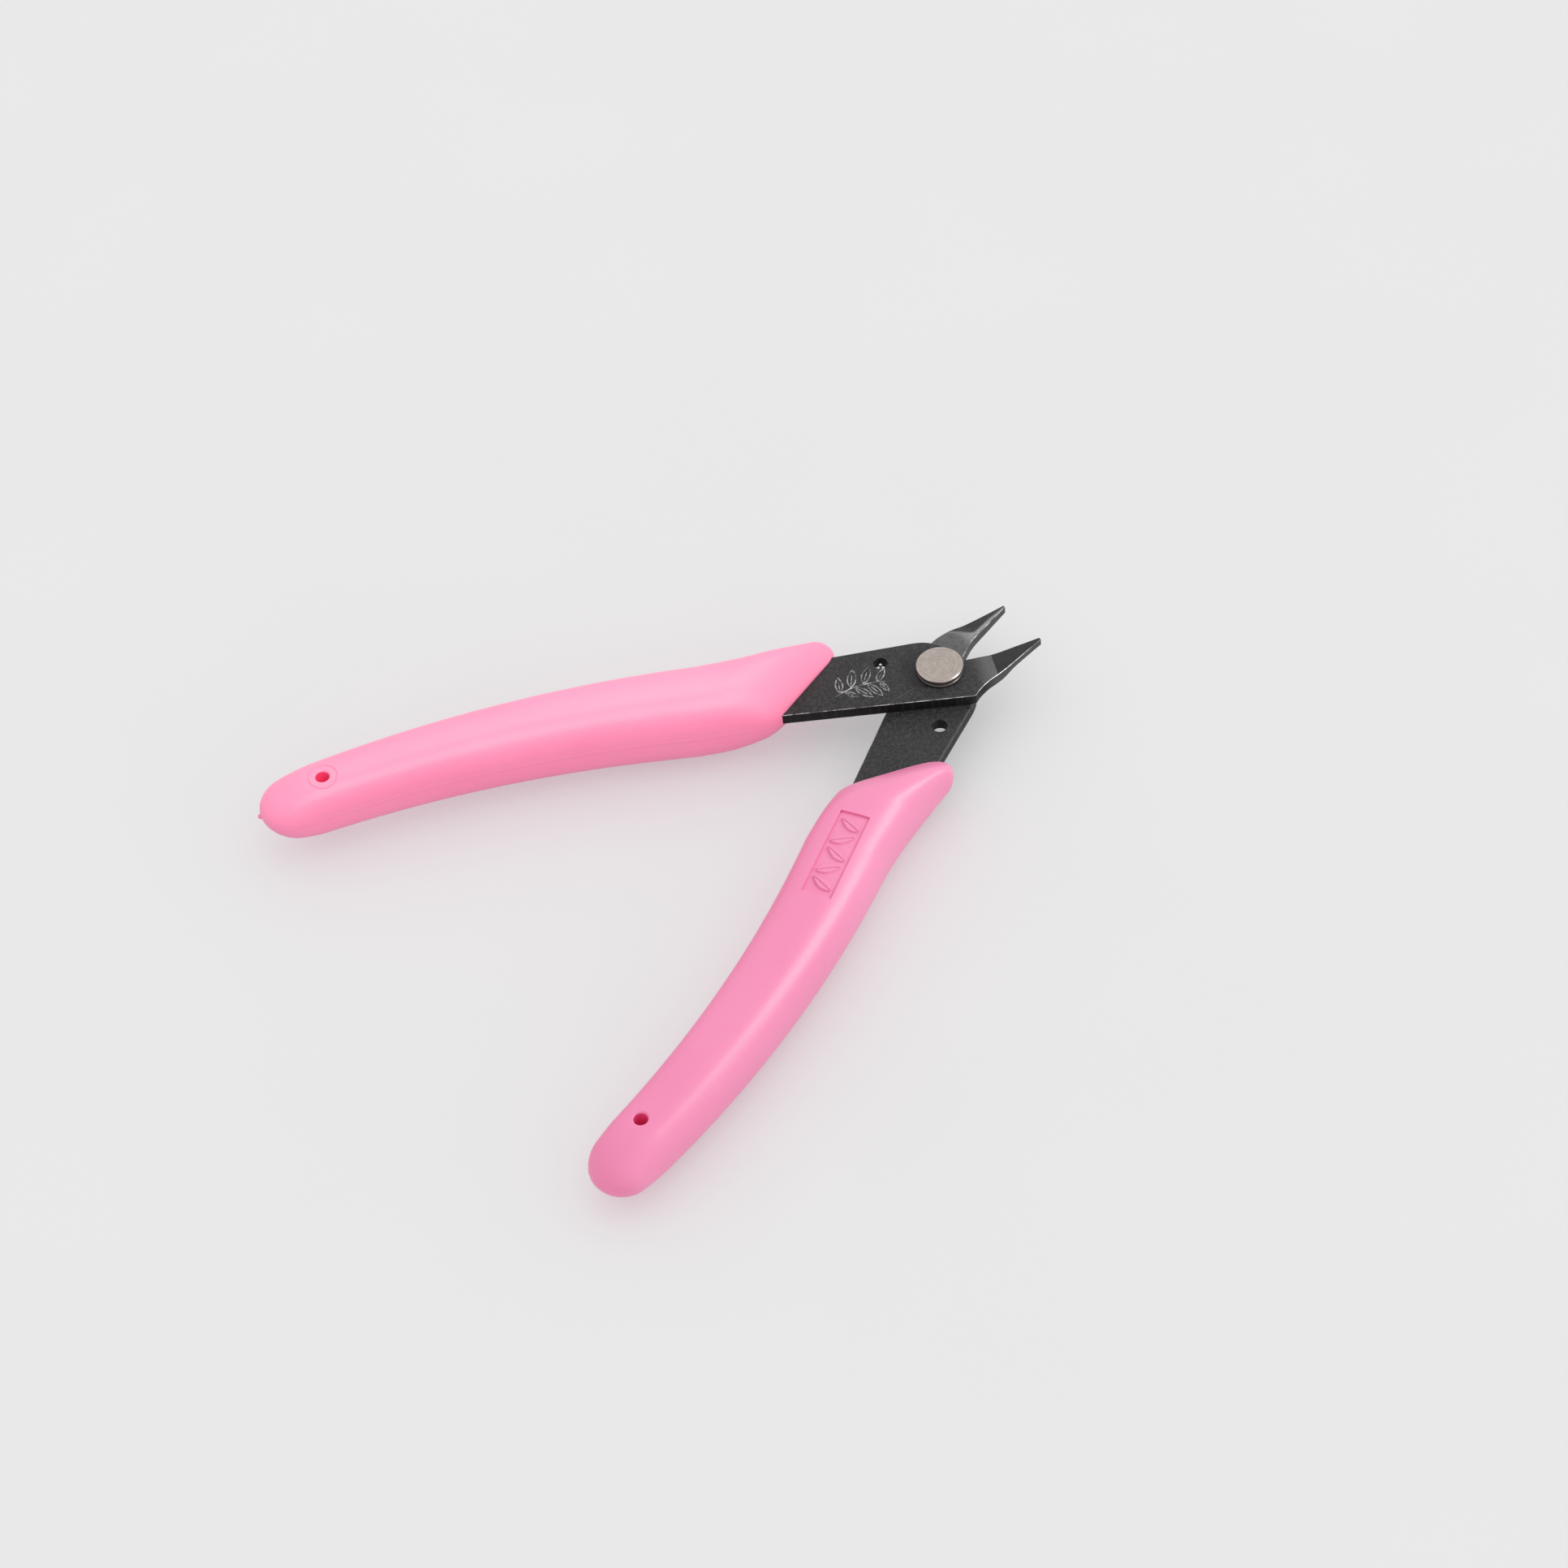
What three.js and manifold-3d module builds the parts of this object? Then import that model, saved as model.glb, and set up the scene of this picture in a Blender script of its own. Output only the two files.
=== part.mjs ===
// Floral snips: two stamped bypass blades on one rivet, each with a moulded grip, held open by a wire spring.
// Millimetres, +Z up. The halves are the same part, one of them turned over about the X axis, which bisects
// the opening. The jaws point along +X and the tool lies on its grips at z = 0.

import * as THREE from 'three';
import { mergeVertices } from 'three/addons/utils/BufferGeometryUtils.js';
import Module from 'manifold-3d';

const wasm = await Module();
wasm.setup();

// ---------- driving dimensions ----------

const BLADE_T = 2.0; // plate thickness
const BLADE_GAP = 0.1; // running gap between the two plates
const BLADE_FACE = BLADE_GAP / 2; // mating face of the upper plate above the mid plane
const BLADE_TOP = BLADE_FACE + BLADE_T;

const SHANK_R = 1.9; // rivet shank
const BORE_R = 1.95; // bore of both blades, a running fit on the shank
const WIRE_HOLE_R = 1.1; // small hole in each plate for the spring's hook
const WIRE_HOLE = [-6.2, 7.6];

const HEAD_R = 3.85; // disc head of the rivet
const HEAD_H = 1.2;
const HEAD_ROUND = 0.45; // rounding of the head's rim
const WASHER_R = 3.7;
const WASHER_H = 0.5;
const WASHER_CLEAR = 0.05; // clearance over and under each washer
const TAIL_R = 3.0; // formed end of the rivet
const TAIL_H = 0.8;

const COUNTERBORE_R = 3.1; // pocket for the spring coil in both mating faces
const COUNTERBORE_D = 0.65;
const WIRE_R = 0.23; // spring wire
const COIL_R = 2.55; // mean radius of the coil
const COIL_DROP = 0.66; // height between the two ends of the coil
const COIL_STEPS = 22;
const GROOVE_W = 0.8; // groove for the spring's leg in the front blade
const HOOK_TOP = 1.75; // end of the upper hook above the mid plane
const ANCHOR = [-4.1, -3.0]; // blind hole for the lower hook in the rear blade
const ANCHOR_R = 0.45;
const ANCHOR_D = 1.6;

const RELIEF_D = 0.25; // hollow in the jaw's mating face
const TIP_THIN = 0.6; // how much the outer bevel takes off at the tip
const BEVEL_LINE = [[8.85, -2.4], [6.4, -7.6]]; // where the outer bevel starts, across the jaw
const TIP_X = 17.4;
const FRONT_JAW = { turn: 2.2, reach: 0.975 }; // set of each jaw in degrees, and its length against TIP_X
const REAR_JAW = { turn: -2.0, reach: 1.05 };

const TANG_CLEAR = 0.3; // clearance between the grip and what goes into it
const TANG_ROOT = [-14.0, 9.1]; // start of the tang's middle line, inside the plate
const TANG_END = [-68.0, 36.0];
const TANG_ROOT_W = 7.6;
const TANG_END_W = 5.0;

const SPINE_CENTRE = [-140.87, -152.5]; // the grip's centre line is an arc
const SPINE_R = 202.22;
const SPINE_FRONT = 58.6; // degrees, where the flare at the front begins
const SPINE_TAIL = 77.2; // degrees, centre of the round tail
const GRIP_FRONT_A = 6.46; // half width at the front
const GRIP_TAIL_A = 4.88; // half width at the tail
const GRIP_LEVEL = 1.05; // the grip is centred on its plate
const GRIP_FRONT_H = 6.43; // half thickness at FRONT_X
const GRIP_TAPER = 0.0252; // loss of half thickness per mm towards the tail
const FRONT_X = -35.5;
const LOBE_CENTRE = [-12.35, 15.35]; // round outer corner at the front of the grip
const LOBE_R = 2.15;
const LOBE_FROM = -72; // degrees
const LOBE_TO = 74;
const INNER_POWER = 3.6; // superellipse exponent of the cross-section on the side towards the other grip
const OUTER_POWER = 2.5; // and on the outer side
const FRONT_POWER = 3.2; // the same exponent at the front edge
const TAIL_POWER = 2.1; // and at the end of the tail
const MOUTH_TOP = 2.6; // top and bottom of the grip at its front edge, where it meets the plate
const MOUTH_BOTTOM = -1.1;
const TOP_RAMP = 9.5; // length over which the front end slopes up from the plate
const BOTTOM_RAMP = 8.0; // and down from it
const TAIL_DOME = 9.5; // length over which the tail rounds down
const STATIONS = 28; // sections along the grip
const SECTION_POINTS = 20;
const LAST_STATION = 0.988;

const PIN_HOLE = [-90.5, 42.7]; // blind hole in both faces of the grip near the tail
const PIN_HOLE_R = 1.1;
const PIN_HOLE_D = 3.2;
const PANEL_CENTRE = [-37.6, 21.6]; // recessed label panel on the face towards the other blade
const PANEL_L = 16.9;
const PANEL_W = 4.9;
const PANEL_D = 0.5;
const PANEL_TURN = -31; // degrees

const CURVE_STEPS = 5;
const ROUND_STEPS = 4;
const CIRCLE_STEPS = 40;

// ---------- materials ----------

function finish(color, roughness, metalness) {
  return () => new THREE.MeshStandardMaterial({ color, roughness, metalness });
}

const blackSteel = finish(0x38373a, 0.62, 0.6);
const brightSteel = finish(0xb9b2aa, 0.34, 1.0);
const springSteel = finish(0x9c9c9c, 0.3, 1.0);
const pinkRubber = finish(0xf7a6c6, 0.55, 0.0);

// ---------- helpers ----------

function solid(geometry) {
  const bare = geometry.clone();
  bare.deleteAttribute('normal');
  bare.deleteAttribute('uv');
  const merged = mergeVertices(bare, 1e-5);
  return new wasm.Manifold(new wasm.Mesh({
    numProp: 3,
    vertProperties: new Float32Array(merged.attributes.position.array),
    triVerts: new Uint32Array(merged.index.array),
  }));
}

function geometryOf(manifold) {
  const mesh = manifold.getMesh();
  const geometry = new THREE.BufferGeometry();
  geometry.setAttribute('position', new THREE.BufferAttribute(mesh.vertProperties, 3));
  geometry.setIndex(new THREE.BufferAttribute(mesh.triVerts, 1));
  return geometry.toNonIndexed();
}

// The outline as a polygon, without the repeated points where two curves meet.
function faceted(shape) {
  const points = shape.getPoints(CURVE_STEPS);
  const distinct = points.filter((p, i) => p.distanceTo(points[(i + 1) % points.length]) > 1e-3);
  return new THREE.Shape(distinct);
}

function prism(shape, z0, z1) {
  const geometry = new THREE.ExtrudeGeometry(faceted(shape), {
    depth: z1 - z0,
    bevelEnabled: false,
  });
  return geometry.translate(0, 0, z0);
}

function disc(x, y, r, z0, z1, steps = CIRCLE_STEPS) {
  const geometry = new THREE.CylinderGeometry(r, r, z1 - z0, steps);
  return geometry.rotateX(Math.PI / 2).translate(x, y, (z0 + z1) / 2);
}

function polygon(points) {
  return new THREE.Shape(points.map(([x, y]) => new THREE.Vector2(x, y)));
}

// A bar between two points, wider at one end if asked.
function bar(from, to, w0, w1, grow = 0) {
  const a = new THREE.Vector2(...from);
  const b = new THREE.Vector2(...to);
  const along = b.clone().sub(a).normalize();
  const side = new THREE.Vector2(-along.y, along.x);
  const corner = (p, back, half) => p.clone().addScaledVector(along, back).addScaledVector(side, half);
  return [
    corner(a, -grow, w0 / 2 + grow),
    corner(a, -grow, -w0 / 2 - grow),
    corner(b, grow, -w1 / 2 - grow),
    corner(b, grow, w1 / 2 + grow),
  ];
}

// ---------- blade, as the upper half: mating face down ----------

// Places a point of the jaw for a blade whose jaw is turned about the pivot and lengthened.
function jawPoint(jaw, x, y) {
  const turn = THREE.MathUtils.degToRad(jaw.turn);
  const stretched = new THREE.Vector2(x * jaw.reach, y * jaw.reach);
  return stretched.rotateAround(new THREE.Vector2(0, 0), turn);
}

function bladeOutline(jaw) {
  const at = (x, y) => jawPoint(jaw, x, y).toArray();
  const shape = new THREE.Shape();
  shape.moveTo(1.8, -7.5);
  shape.quadraticCurveTo(1.3, -7.9, 0.7, -7.53); // corner of the inner edge
  shape.lineTo(-24.7, 8.53); // shoulder in front of the grip
  shape.lineTo(-10.65, 13.2);
  shape.lineTo(-0.3, 8.1);
  shape.quadraticCurveTo(0.9, 7.5, 1.65, 6.93);
  shape.bezierCurveTo(3.2, 5.8, 4.4, 3.4, 4.4, 0.4); // shoulder
  shape.quadraticCurveTo(4.35, -0.55, ...at(4.75, -0.85)); // heel of the cutting edge
  shape.lineTo(...at(8.2, -2.63));
  shape.quadraticCurveTo(...at(9.0, -3.0), ...at(10.2, -3.28));
  shape.lineTo(...at(TIP_X, -4.9));
  shape.lineTo(...at(TIP_X, -5.4)); // blunt tip
  shape.lineTo(...at(9.5, -6.68));
  shape.quadraticCurveTo(...at(6.9, -7.1), ...at(4.9, -7.02));
  shape.quadraticCurveTo(2.9, -7.0, 1.8, -7.5);
  return shape;
}

// The hollow beside the cutting land: a round-ended region that runs out over the back of the jaw.
function reliefOutline(jaw) {
  const at = (x, y) => jawPoint(jaw, x, y).toArray();
  const shape = new THREE.Shape();
  shape.moveTo(...at(TIP_X + 1, -5.3));
  shape.lineTo(...at(14.0, -4.72));
  shape.lineTo(...at(10.8, -4.1));
  shape.bezierCurveTo(...at(9.0, -3.9), ...at(8.2, -5.6), ...at(7.5, -8.5));
  shape.lineTo(...at(TIP_X + 1, -8.5));
  shape.closePath();
  return shape;
}

// The wedge taken off the outer face between the bevel line and the tip.
function bevelWedge(jaw) {
  const [p, q] = BEVEL_LINE.map(([x, y]) => jawPoint(jaw, x, y));
  const tip = jawPoint(jaw, TIP_X, -5.15);
  const along = q.clone().sub(p).normalize();
  const ahead = new THREE.Vector2(-along.y, along.x);
  const reach = 14;
  const width = 16;
  const drop = (TIP_THIN * reach) / tip.clone().sub(p).dot(ahead);
  const section = polygon([[0, 0], [reach, -drop], [reach, 2], [0, 2]]);
  const geometry = new THREE.ExtrudeGeometry(section, { depth: width, bevelEnabled: false });
  geometry.translate(0, 0, -width / 2);
  geometry.applyMatrix4(new THREE.Matrix4().makeBasis(
    new THREE.Vector3(ahead.x, ahead.y, 0),
    new THREE.Vector3(0, 0, 1),
    new THREE.Vector3(along.x, along.y, 0),
  ));
  return geometry.translate((p.x + q.x) / 2, (p.y + q.y) / 2, BLADE_TOP);
}

function bladeSolid(jaw) {
  const below = BLADE_FACE - 1;
  const above = BLADE_TOP + 1;
  const pocketTop = BLADE_FACE + COUNTERBORE_D;
  const tang = new THREE.Shape(bar(TANG_ROOT, TANG_END, TANG_ROOT_W, TANG_END_W));
  return solid(prism(bladeOutline(jaw), BLADE_FACE, BLADE_TOP))
    .add(solid(prism(tang, BLADE_FACE, BLADE_TOP)))
    .subtract(solid(disc(0, 0, BORE_R, below, above)))
    .subtract(solid(disc(...WIRE_HOLE, WIRE_HOLE_R, below, above, 24)))
    .subtract(solid(disc(0, 0, COUNTERBORE_R, below, pocketTop)))
    .subtract(solid(prism(reliefOutline(jaw), below, BLADE_FACE + RELIEF_D)))
    .subtract(solid(bevelWedge(jaw)));
}

// A groove in the mating face from the coil's pocket to a point.
function legGroove(to) {
  const groove = new THREE.Shape(bar([0, 0], to, GROOVE_W, GROOVE_W));
  return solid(prism(groove, BLADE_FACE - 1, BLADE_FACE + COUNTERBORE_D));
}

function frontBlade() {
  return geometryOf(bladeSolid(FRONT_JAW).subtract(legGroove(WIRE_HOLE)));
}

// The rear blade is turned over, so its anchor is placed mirrored in Y.
function rearBlade() {
  const spot = [ANCHOR[0], -ANCHOR[1]];
  return geometryOf(bladeSolid(REAR_JAW)
    .subtract(legGroove(spot))
    .subtract(solid(disc(...spot, ANCHOR_R, BLADE_FACE - 1, BLADE_FACE + ANCHOR_D, 16))));
}

// ---------- grip ----------

function spinePoint(degrees, offset) {
  const t = THREE.MathUtils.degToRad(degrees);
  const r = SPINE_R + offset;
  return new THREE.Vector2(SPINE_CENTRE[0] + r * Math.cos(t), SPINE_CENTRE[1] + r * Math.sin(t));
}

function gripHalfWidth(degrees) {
  const s = (degrees - SPINE_FRONT) / (SPINE_TAIL - SPINE_FRONT);
  return THREE.MathUtils.lerp(GRIP_FRONT_A, GRIP_TAIL_A, s);
}

function gripSide(side, from, to, count) {
  const points = [];
  for (let i = 1; i <= count; i += 1) {
    const degrees = THREE.MathUtils.lerp(from, to, i / count);
    points.push(spinePoint(degrees, side * gripHalfWidth(degrees)));
  }
  return points;
}

// The two long sides seen from above, each from the front edge to the end of the tail.
function gripSides() {
  const tail = spinePoint(SPINE_TAIL, 0);
  const tailTurn = THREE.MathUtils.degToRad(SPINE_TAIL);
  const lobe = [LOBE_FROM, LOBE_TO].map(THREE.MathUtils.degToRad);
  const innerStart = spinePoint(SPINE_FRONT, -GRIP_FRONT_A);
  const outerStart = spinePoint(SPINE_FRONT, GRIP_FRONT_A);

  const inner = new THREE.Path();
  inner.moveTo(-25.0, 8.85);
  inner.quadraticCurveTo(-27.2, 8.13, -29.4, 9.55); // inner corner
  inner.lineTo(innerStart.x, innerStart.y);
  inner.splineThru(gripSide(-1, SPINE_FRONT, SPINE_TAIL, 4));
  inner.absarc(tail.x, tail.y, GRIP_TAIL_A, tailTurn - Math.PI, tailTurn - (3 * Math.PI) / 2, true);

  const outer = new THREE.Path();
  outer.absarc(...LOBE_CENTRE, LOBE_R, ...lobe, false);
  outer.bezierCurveTo(-17.5, 18.6, -27.5, 22.7, outerStart.x, outerStart.y); // flare
  outer.splineThru(gripSide(1, SPINE_FRONT, SPINE_TAIL, 4));
  outer.absarc(tail.x, tail.y, GRIP_TAIL_A, tailTurn, tailTurn + Math.PI / 2, false);
  return { inner, outer };
}

function gripHalfThickness(x) {
  return GRIP_FRONT_H - GRIP_TAPER * Math.max(0, FRONT_X - x);
}

function gripGeometry() {
  const { inner, outer } = gripSides();
  const frontA = inner.getPoint(0);
  const frontB = outer.getPoint(0);
  const inward = frontB.clone().sub(frontA).normalize().rotateAround(new THREE.Vector2(0, 0), Math.PI / 2);
  const tip = inner.getPoint(1);
  const tailAxis = tip.clone().sub(spinePoint(SPINE_TAIL, 0)).normalize();
  const vertices = [];
  const ends = [];
  for (let i = 0; i <= STATIONS; i += 1) {
    const t = LAST_STATION * 0.5 * (1 - Math.cos((Math.PI * i) / STATIONS));
    const a = inner.getPoint(t);
    const b = outer.getPoint(t);
    const centre = a.clone().add(b).multiplyScalar(0.5);
    const across = b.clone().sub(a).multiplyScalar(0.5);
    const fromFront = centre.clone().sub(frontA).dot(inward);
    const front = Math.max(0, 1 - fromFront / TOP_RAMP);
    const under = Math.max(0, 1 - fromFront / BOTTOM_RAMP);
    const back = Math.max(0, 1 - tip.clone().sub(centre).dot(tailAxis) / TAIL_DOME);
    const full = gripHalfThickness(centre.x) * Math.sqrt(1 - back ** 2);
    const top = THREE.MathUtils.lerp(GRIP_LEVEL + full, MOUTH_TOP, front ** 2);
    const bottom = THREE.MathUtils.lerp(GRIP_LEVEL - full, MOUTH_BOTTOM, under ** 2);
    const middle = (top + bottom) / 2;
    const half = (top - bottom) / 2;
    for (let k = 0; k < SECTION_POINTS; k += 1) {
      const turn = (2 * Math.PI * k) / SECTION_POINTS;
      const side = Math.cos(turn) > 0 ? OUTER_POWER : INNER_POWER;
      const power = THREE.MathUtils.lerp(side, back > 0 ? TAIL_POWER : FRONT_POWER, Math.max(back, front));
      const u = Math.sign(Math.cos(turn)) * Math.abs(Math.cos(turn)) ** (2 / power);
      const v = Math.sign(Math.sin(turn)) * Math.abs(Math.sin(turn)) ** (2 / power);
      vertices.push(centre.x + u * across.x, centre.y + u * across.y, middle + v * half);
    }
    if (i === 0 || i === STATIONS) ends.push([centre.x, centre.y, middle]);
  }
  const faces = [];
  for (let i = 0; i < STATIONS; i += 1) {
    for (let k = 0; k < SECTION_POINTS; k += 1) {
      const p = i * SECTION_POINTS + k;
      const q = i * SECTION_POINTS + ((k + 1) % SECTION_POINTS);
      faces.push(p, p + SECTION_POINTS, q, q, p + SECTION_POINTS, q + SECTION_POINTS);
    }
  }
  const capFront = vertices.length / 3;
  vertices.push(...ends[0], ...ends[1]);
  for (let k = 0; k < SECTION_POINTS; k += 1) {
    const next = (k + 1) % SECTION_POINTS;
    const last = STATIONS * SECTION_POINTS;
    faces.push(capFront, k, next, capFront + 1, last + next, last + k);
  }
  const geometry = new THREE.BufferGeometry();
  geometry.setAttribute('position', new THREE.Float32BufferAttribute(vertices, 3));
  geometry.setIndex(faces);
  return geometry;
}

function gripSolid() {
  const pocket = new THREE.Shape(bar(TANG_ROOT, TANG_END, TANG_ROOT_W, TANG_END_W, TANG_CLEAR));
  const panel = new THREE.BoxGeometry(PANEL_L, PANEL_W, 2);
  panel.translate(0, 0, -1 + PANEL_D);
  panel.rotateZ(THREE.MathUtils.degToRad(PANEL_TURN));
  panel.rotateY(GRIP_TAPER);
  panel.translate(...PANEL_CENTRE, GRIP_LEVEL - gripHalfThickness(PANEL_CENTRE[0]));
  const top = GRIP_LEVEL + gripHalfThickness(PIN_HOLE[0]);
  const bottom = GRIP_LEVEL - gripHalfThickness(PIN_HOLE[0]);
  return solid(gripGeometry())
    .subtract(solid(prism(pocket, BLADE_FACE - TANG_CLEAR, BLADE_TOP + TANG_CLEAR)))
    .subtract(solid(panel))
    .subtract(solid(disc(...PIN_HOLE, PIN_HOLE_R, top - PIN_HOLE_D, top + 1, 20)))
    .subtract(solid(disc(...PIN_HOLE, PIN_HOLE_R, bottom - 1, bottom + PIN_HOLE_D, 20)));
}

// ---------- rivet, washers and spring ----------

function lathe(profile, steps = CIRCLE_STEPS) {
  const geometry = new THREE.LatheGeometry(profile.map(([r, z]) => new THREE.Vector2(r, z)), steps);
  return geometry.rotateX(Math.PI / 2);
}

function rivet() {
  const under = BLADE_TOP + WASHER_H + 2 * WASHER_CLEAR;
  const top = under + HEAD_H;
  const arc = [];
  for (let i = 0; i <= ROUND_STEPS; i += 1) {
    const t = (i / ROUND_STEPS) * (Math.PI / 2);
    arc.push([HEAD_R - HEAD_ROUND * (1 - Math.cos(t)), top - HEAD_ROUND * (1 - Math.sin(t))]);
  }
  return lathe([
    [0, -under - TAIL_H],
    [TAIL_R * 0.6, -under - TAIL_H],
    [TAIL_R * 0.9, -under - TAIL_H * 0.7],
    [TAIL_R, -under - TAIL_H * 0.25],
    [TAIL_R, -under],
    [SHANK_R, -under],
    [SHANK_R, under],
    [HEAD_R, under],
    ...arc,
    [0, top],
  ]);
}

function washer() {
  return lathe([
    [BORE_R, 0],
    [WASHER_R, 0],
    [WASHER_R, WASHER_H],
    [BORE_R, WASHER_H],
    [BORE_R, 0],
  ]);
}

// One coil about the shank, an upper leg to a hook in the front blade and a lower leg to the rear anchor.
function springPath() {
  const upperTurn = Math.atan2(WIRE_HOLE[1], WIRE_HOLE[0]);
  const lowerTurn = Math.atan2(ANCHOR[1], ANCHOR[0]);
  const upperReach = Math.hypot(...WIRE_HOLE);
  const lowerReach = Math.hypot(...ANCHOR);
  const level = COIL_DROP / 2;
  const at = (r, turn, z) => new THREE.Vector3(r * Math.cos(turn), r * Math.sin(turn), z);
  const upperLeg = [upperReach - 0.5, upperReach - 1.6, 4.6, 3.4].map((r) => at(r, upperTurn, level));
  const coilStart = upperTurn + 0.5;
  const coilTurn = lowerTurn - 0.5 + 2 * Math.PI - coilStart + 2 * Math.PI;
  const coil = [];
  for (let i = 0; i <= COIL_STEPS; i += 1) {
    const s = i / COIL_STEPS;
    coil.push(at(COIL_R, coilStart + coilTurn * s, level * (1 - 2 * s)));
  }
  return new THREE.CatmullRomCurve3([
    at(upperReach, upperTurn, HOOK_TOP),
    at(upperReach, upperTurn, level + 0.5),
    ...upperLeg,
    ...coil,
    at(3.5, lowerTurn, -level),
    at(lowerReach - 0.45, lowerTurn, -level),
    at(lowerReach, lowerTurn, -level - 0.45),
    at(lowerReach, lowerTurn, 0.25 - BLADE_FACE - ANCHOR_D),
  ], false, 'centripetal');
}

function spring() {
  const section = new THREE.Shape();
  section.absarc(0, 0, WIRE_R, 0, 2 * Math.PI, false);
  return new THREE.ExtrudeGeometry(section, {
    steps: 110,
    extrudePath: springPath(),
    curveSegments: 4,
    bevelEnabled: false,
  });
}

// ---------- assembly ----------

function part(name, geometry, material, z = 0) {
  const mesh = new THREE.Mesh(geometry, material);
  mesh.name = name;
  mesh.position.z = z;
  return mesh;
}

const frontHalf = new THREE.Group();
frontHalf.add(part('front_blade', frontBlade(), blackSteel()));
frontHalf.add(part('front_grip', geometryOf(gripSolid()), pinkRubber()));
frontHalf.add(part('return_spring', spring(), springSteel()));

const turnedOver = new THREE.Group();
turnedOver.rotation.x = Math.PI;
turnedOver.add(part('rear_blade', rearBlade(), blackSteel()));
turnedOver.add(part('rear_grip', geometryOf(gripSolid()), pinkRubber()));

const pivot = new THREE.Group();
pivot.add(part('pivot_rivet', rivet(), brightSteel()));
pivot.add(part('front_washer', washer(), brightSteel(), BLADE_TOP + WASHER_CLEAR));
pivot.add(part('rear_washer', washer(), brightSteel(), -BLADE_TOP - WASHER_CLEAR - WASHER_H));

const tool = new THREE.Group();
tool.add(frontHalf, turnedOver, pivot);

// Origin at the middle of the footprint, on the surface that the tool lies on.
tool.updateMatrixWorld(true);
const box = new THREE.Box3().setFromObject(tool, true);
tool.position.set(-(box.min.x + box.max.x) / 2, -(box.min.y + box.max.y) / 2, -box.min.z);

export default tool;
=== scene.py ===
import math

import bmesh
import bpy
from mathutils import Matrix, Vector
from mathutils.bvhtree import BVHTree


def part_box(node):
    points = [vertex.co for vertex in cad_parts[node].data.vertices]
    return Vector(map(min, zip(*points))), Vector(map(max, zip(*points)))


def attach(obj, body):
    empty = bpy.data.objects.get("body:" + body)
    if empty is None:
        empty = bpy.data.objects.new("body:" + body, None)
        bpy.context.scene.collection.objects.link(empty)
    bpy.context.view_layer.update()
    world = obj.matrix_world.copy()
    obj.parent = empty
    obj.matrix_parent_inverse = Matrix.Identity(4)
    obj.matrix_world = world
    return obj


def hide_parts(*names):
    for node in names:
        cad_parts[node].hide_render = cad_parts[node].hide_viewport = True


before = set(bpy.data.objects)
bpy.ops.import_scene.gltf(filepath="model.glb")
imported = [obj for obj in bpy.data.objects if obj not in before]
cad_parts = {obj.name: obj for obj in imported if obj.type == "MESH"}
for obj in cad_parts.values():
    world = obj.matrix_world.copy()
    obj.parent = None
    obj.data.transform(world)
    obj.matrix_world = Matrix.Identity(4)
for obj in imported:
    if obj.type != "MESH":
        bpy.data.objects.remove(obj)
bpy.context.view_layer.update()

# Lengths below are millimetres about the pivot, z = 0 on the plane between the blades, for the half that
# lies on top (the front half). The rear half is the same shape turned over about X.
MM = 0.001
rivet_lo, rivet_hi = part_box("pivot_rivet")
MID_Z = (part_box("front_blade")[0].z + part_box("rear_blade")[1].z) / 2
PIVOT = Vector(((rivet_lo.x + rivet_hi.x) / 2, (rivet_lo.y + rivet_hi.y) / 2, MID_Z))
TURN_OVER = Matrix.Rotation(math.pi, 4, "X")


def place(turned=False):
    """The matrix from half-tool millimetres to the row frame."""
    half = TURN_OVER if turned else Matrix.Identity(4)
    return Matrix.Translation(PIVOT) @ Matrix.Scale(MM, 4) @ half


# ---------- outlines ----------

# Each stretch below leaves its last point out, so that the next one can begin with it.

def line(a, b, steps=1):
    a, b = Vector(a), Vector(b)
    return [a.lerp(b, i / steps) for i in range(steps)]


def polar(degrees):
    turn = math.radians(degrees)
    return Vector((math.cos(turn), math.sin(turn)))


def quad(a, c, b, steps=10):
    a, c, b = Vector(a), Vector(c), Vector(b)
    return [a.lerp(c, t).lerp(c.lerp(b, t), t) for t in (i / steps for i in range(steps))]


def cubic(a, c, d, b, steps):
    a, c, d, b = Vector(a), Vector(c), Vector(d), Vector(b)
    points = []
    for i in range(steps):
        t = i / steps
        p, q, r = a.lerp(c, t), c.lerp(d, t), d.lerp(b, t)
        points.append(p.lerp(q, t).lerp(q.lerp(r, t), t))
    return points


def arc(centre, radius, start, end, steps):
    return [Vector(centre) + radius * polar(start + (end - start) * i / steps) for i in range(steps)]


def resample(points, count):
    """Points evenly spaced along a polyline, both ends included."""
    lengths = [0.0]
    for p, q in zip(points, points[1:]):
        lengths.append(lengths[-1] + (q - p).length)
    out, j = [], 0
    for i in range(count):
        s = lengths[-1] * i / (count - 1)
        while j < len(points) - 2 and lengths[j + 1] < s:
            j += 1
        span = lengths[j + 1] - lengths[j]
        out.append(points[j].lerp(points[j + 1], (s - lengths[j]) / span if span else 0))
    return out


# ---------- meshes ----------

def mesh_object(name, bm, matrix, materials):
    mesh = bpy.data.meshes.new(name)
    bm.normal_update()
    bm.to_mesh(mesh)
    bm.free()
    mesh.transform(matrix)
    for m in materials:
        mesh.materials.append(m)
    obj = bpy.data.objects.new(name, mesh)
    bpy.context.scene.collection.objects.link(obj)
    return obj


def band(bm, a, b):
    """Faces between two closed rings of vertices."""
    for k in range(len(a)):
        j = (k + 1) % len(a)
        bm.faces.new((a[k], a[j], b[j], b[k]))


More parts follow.
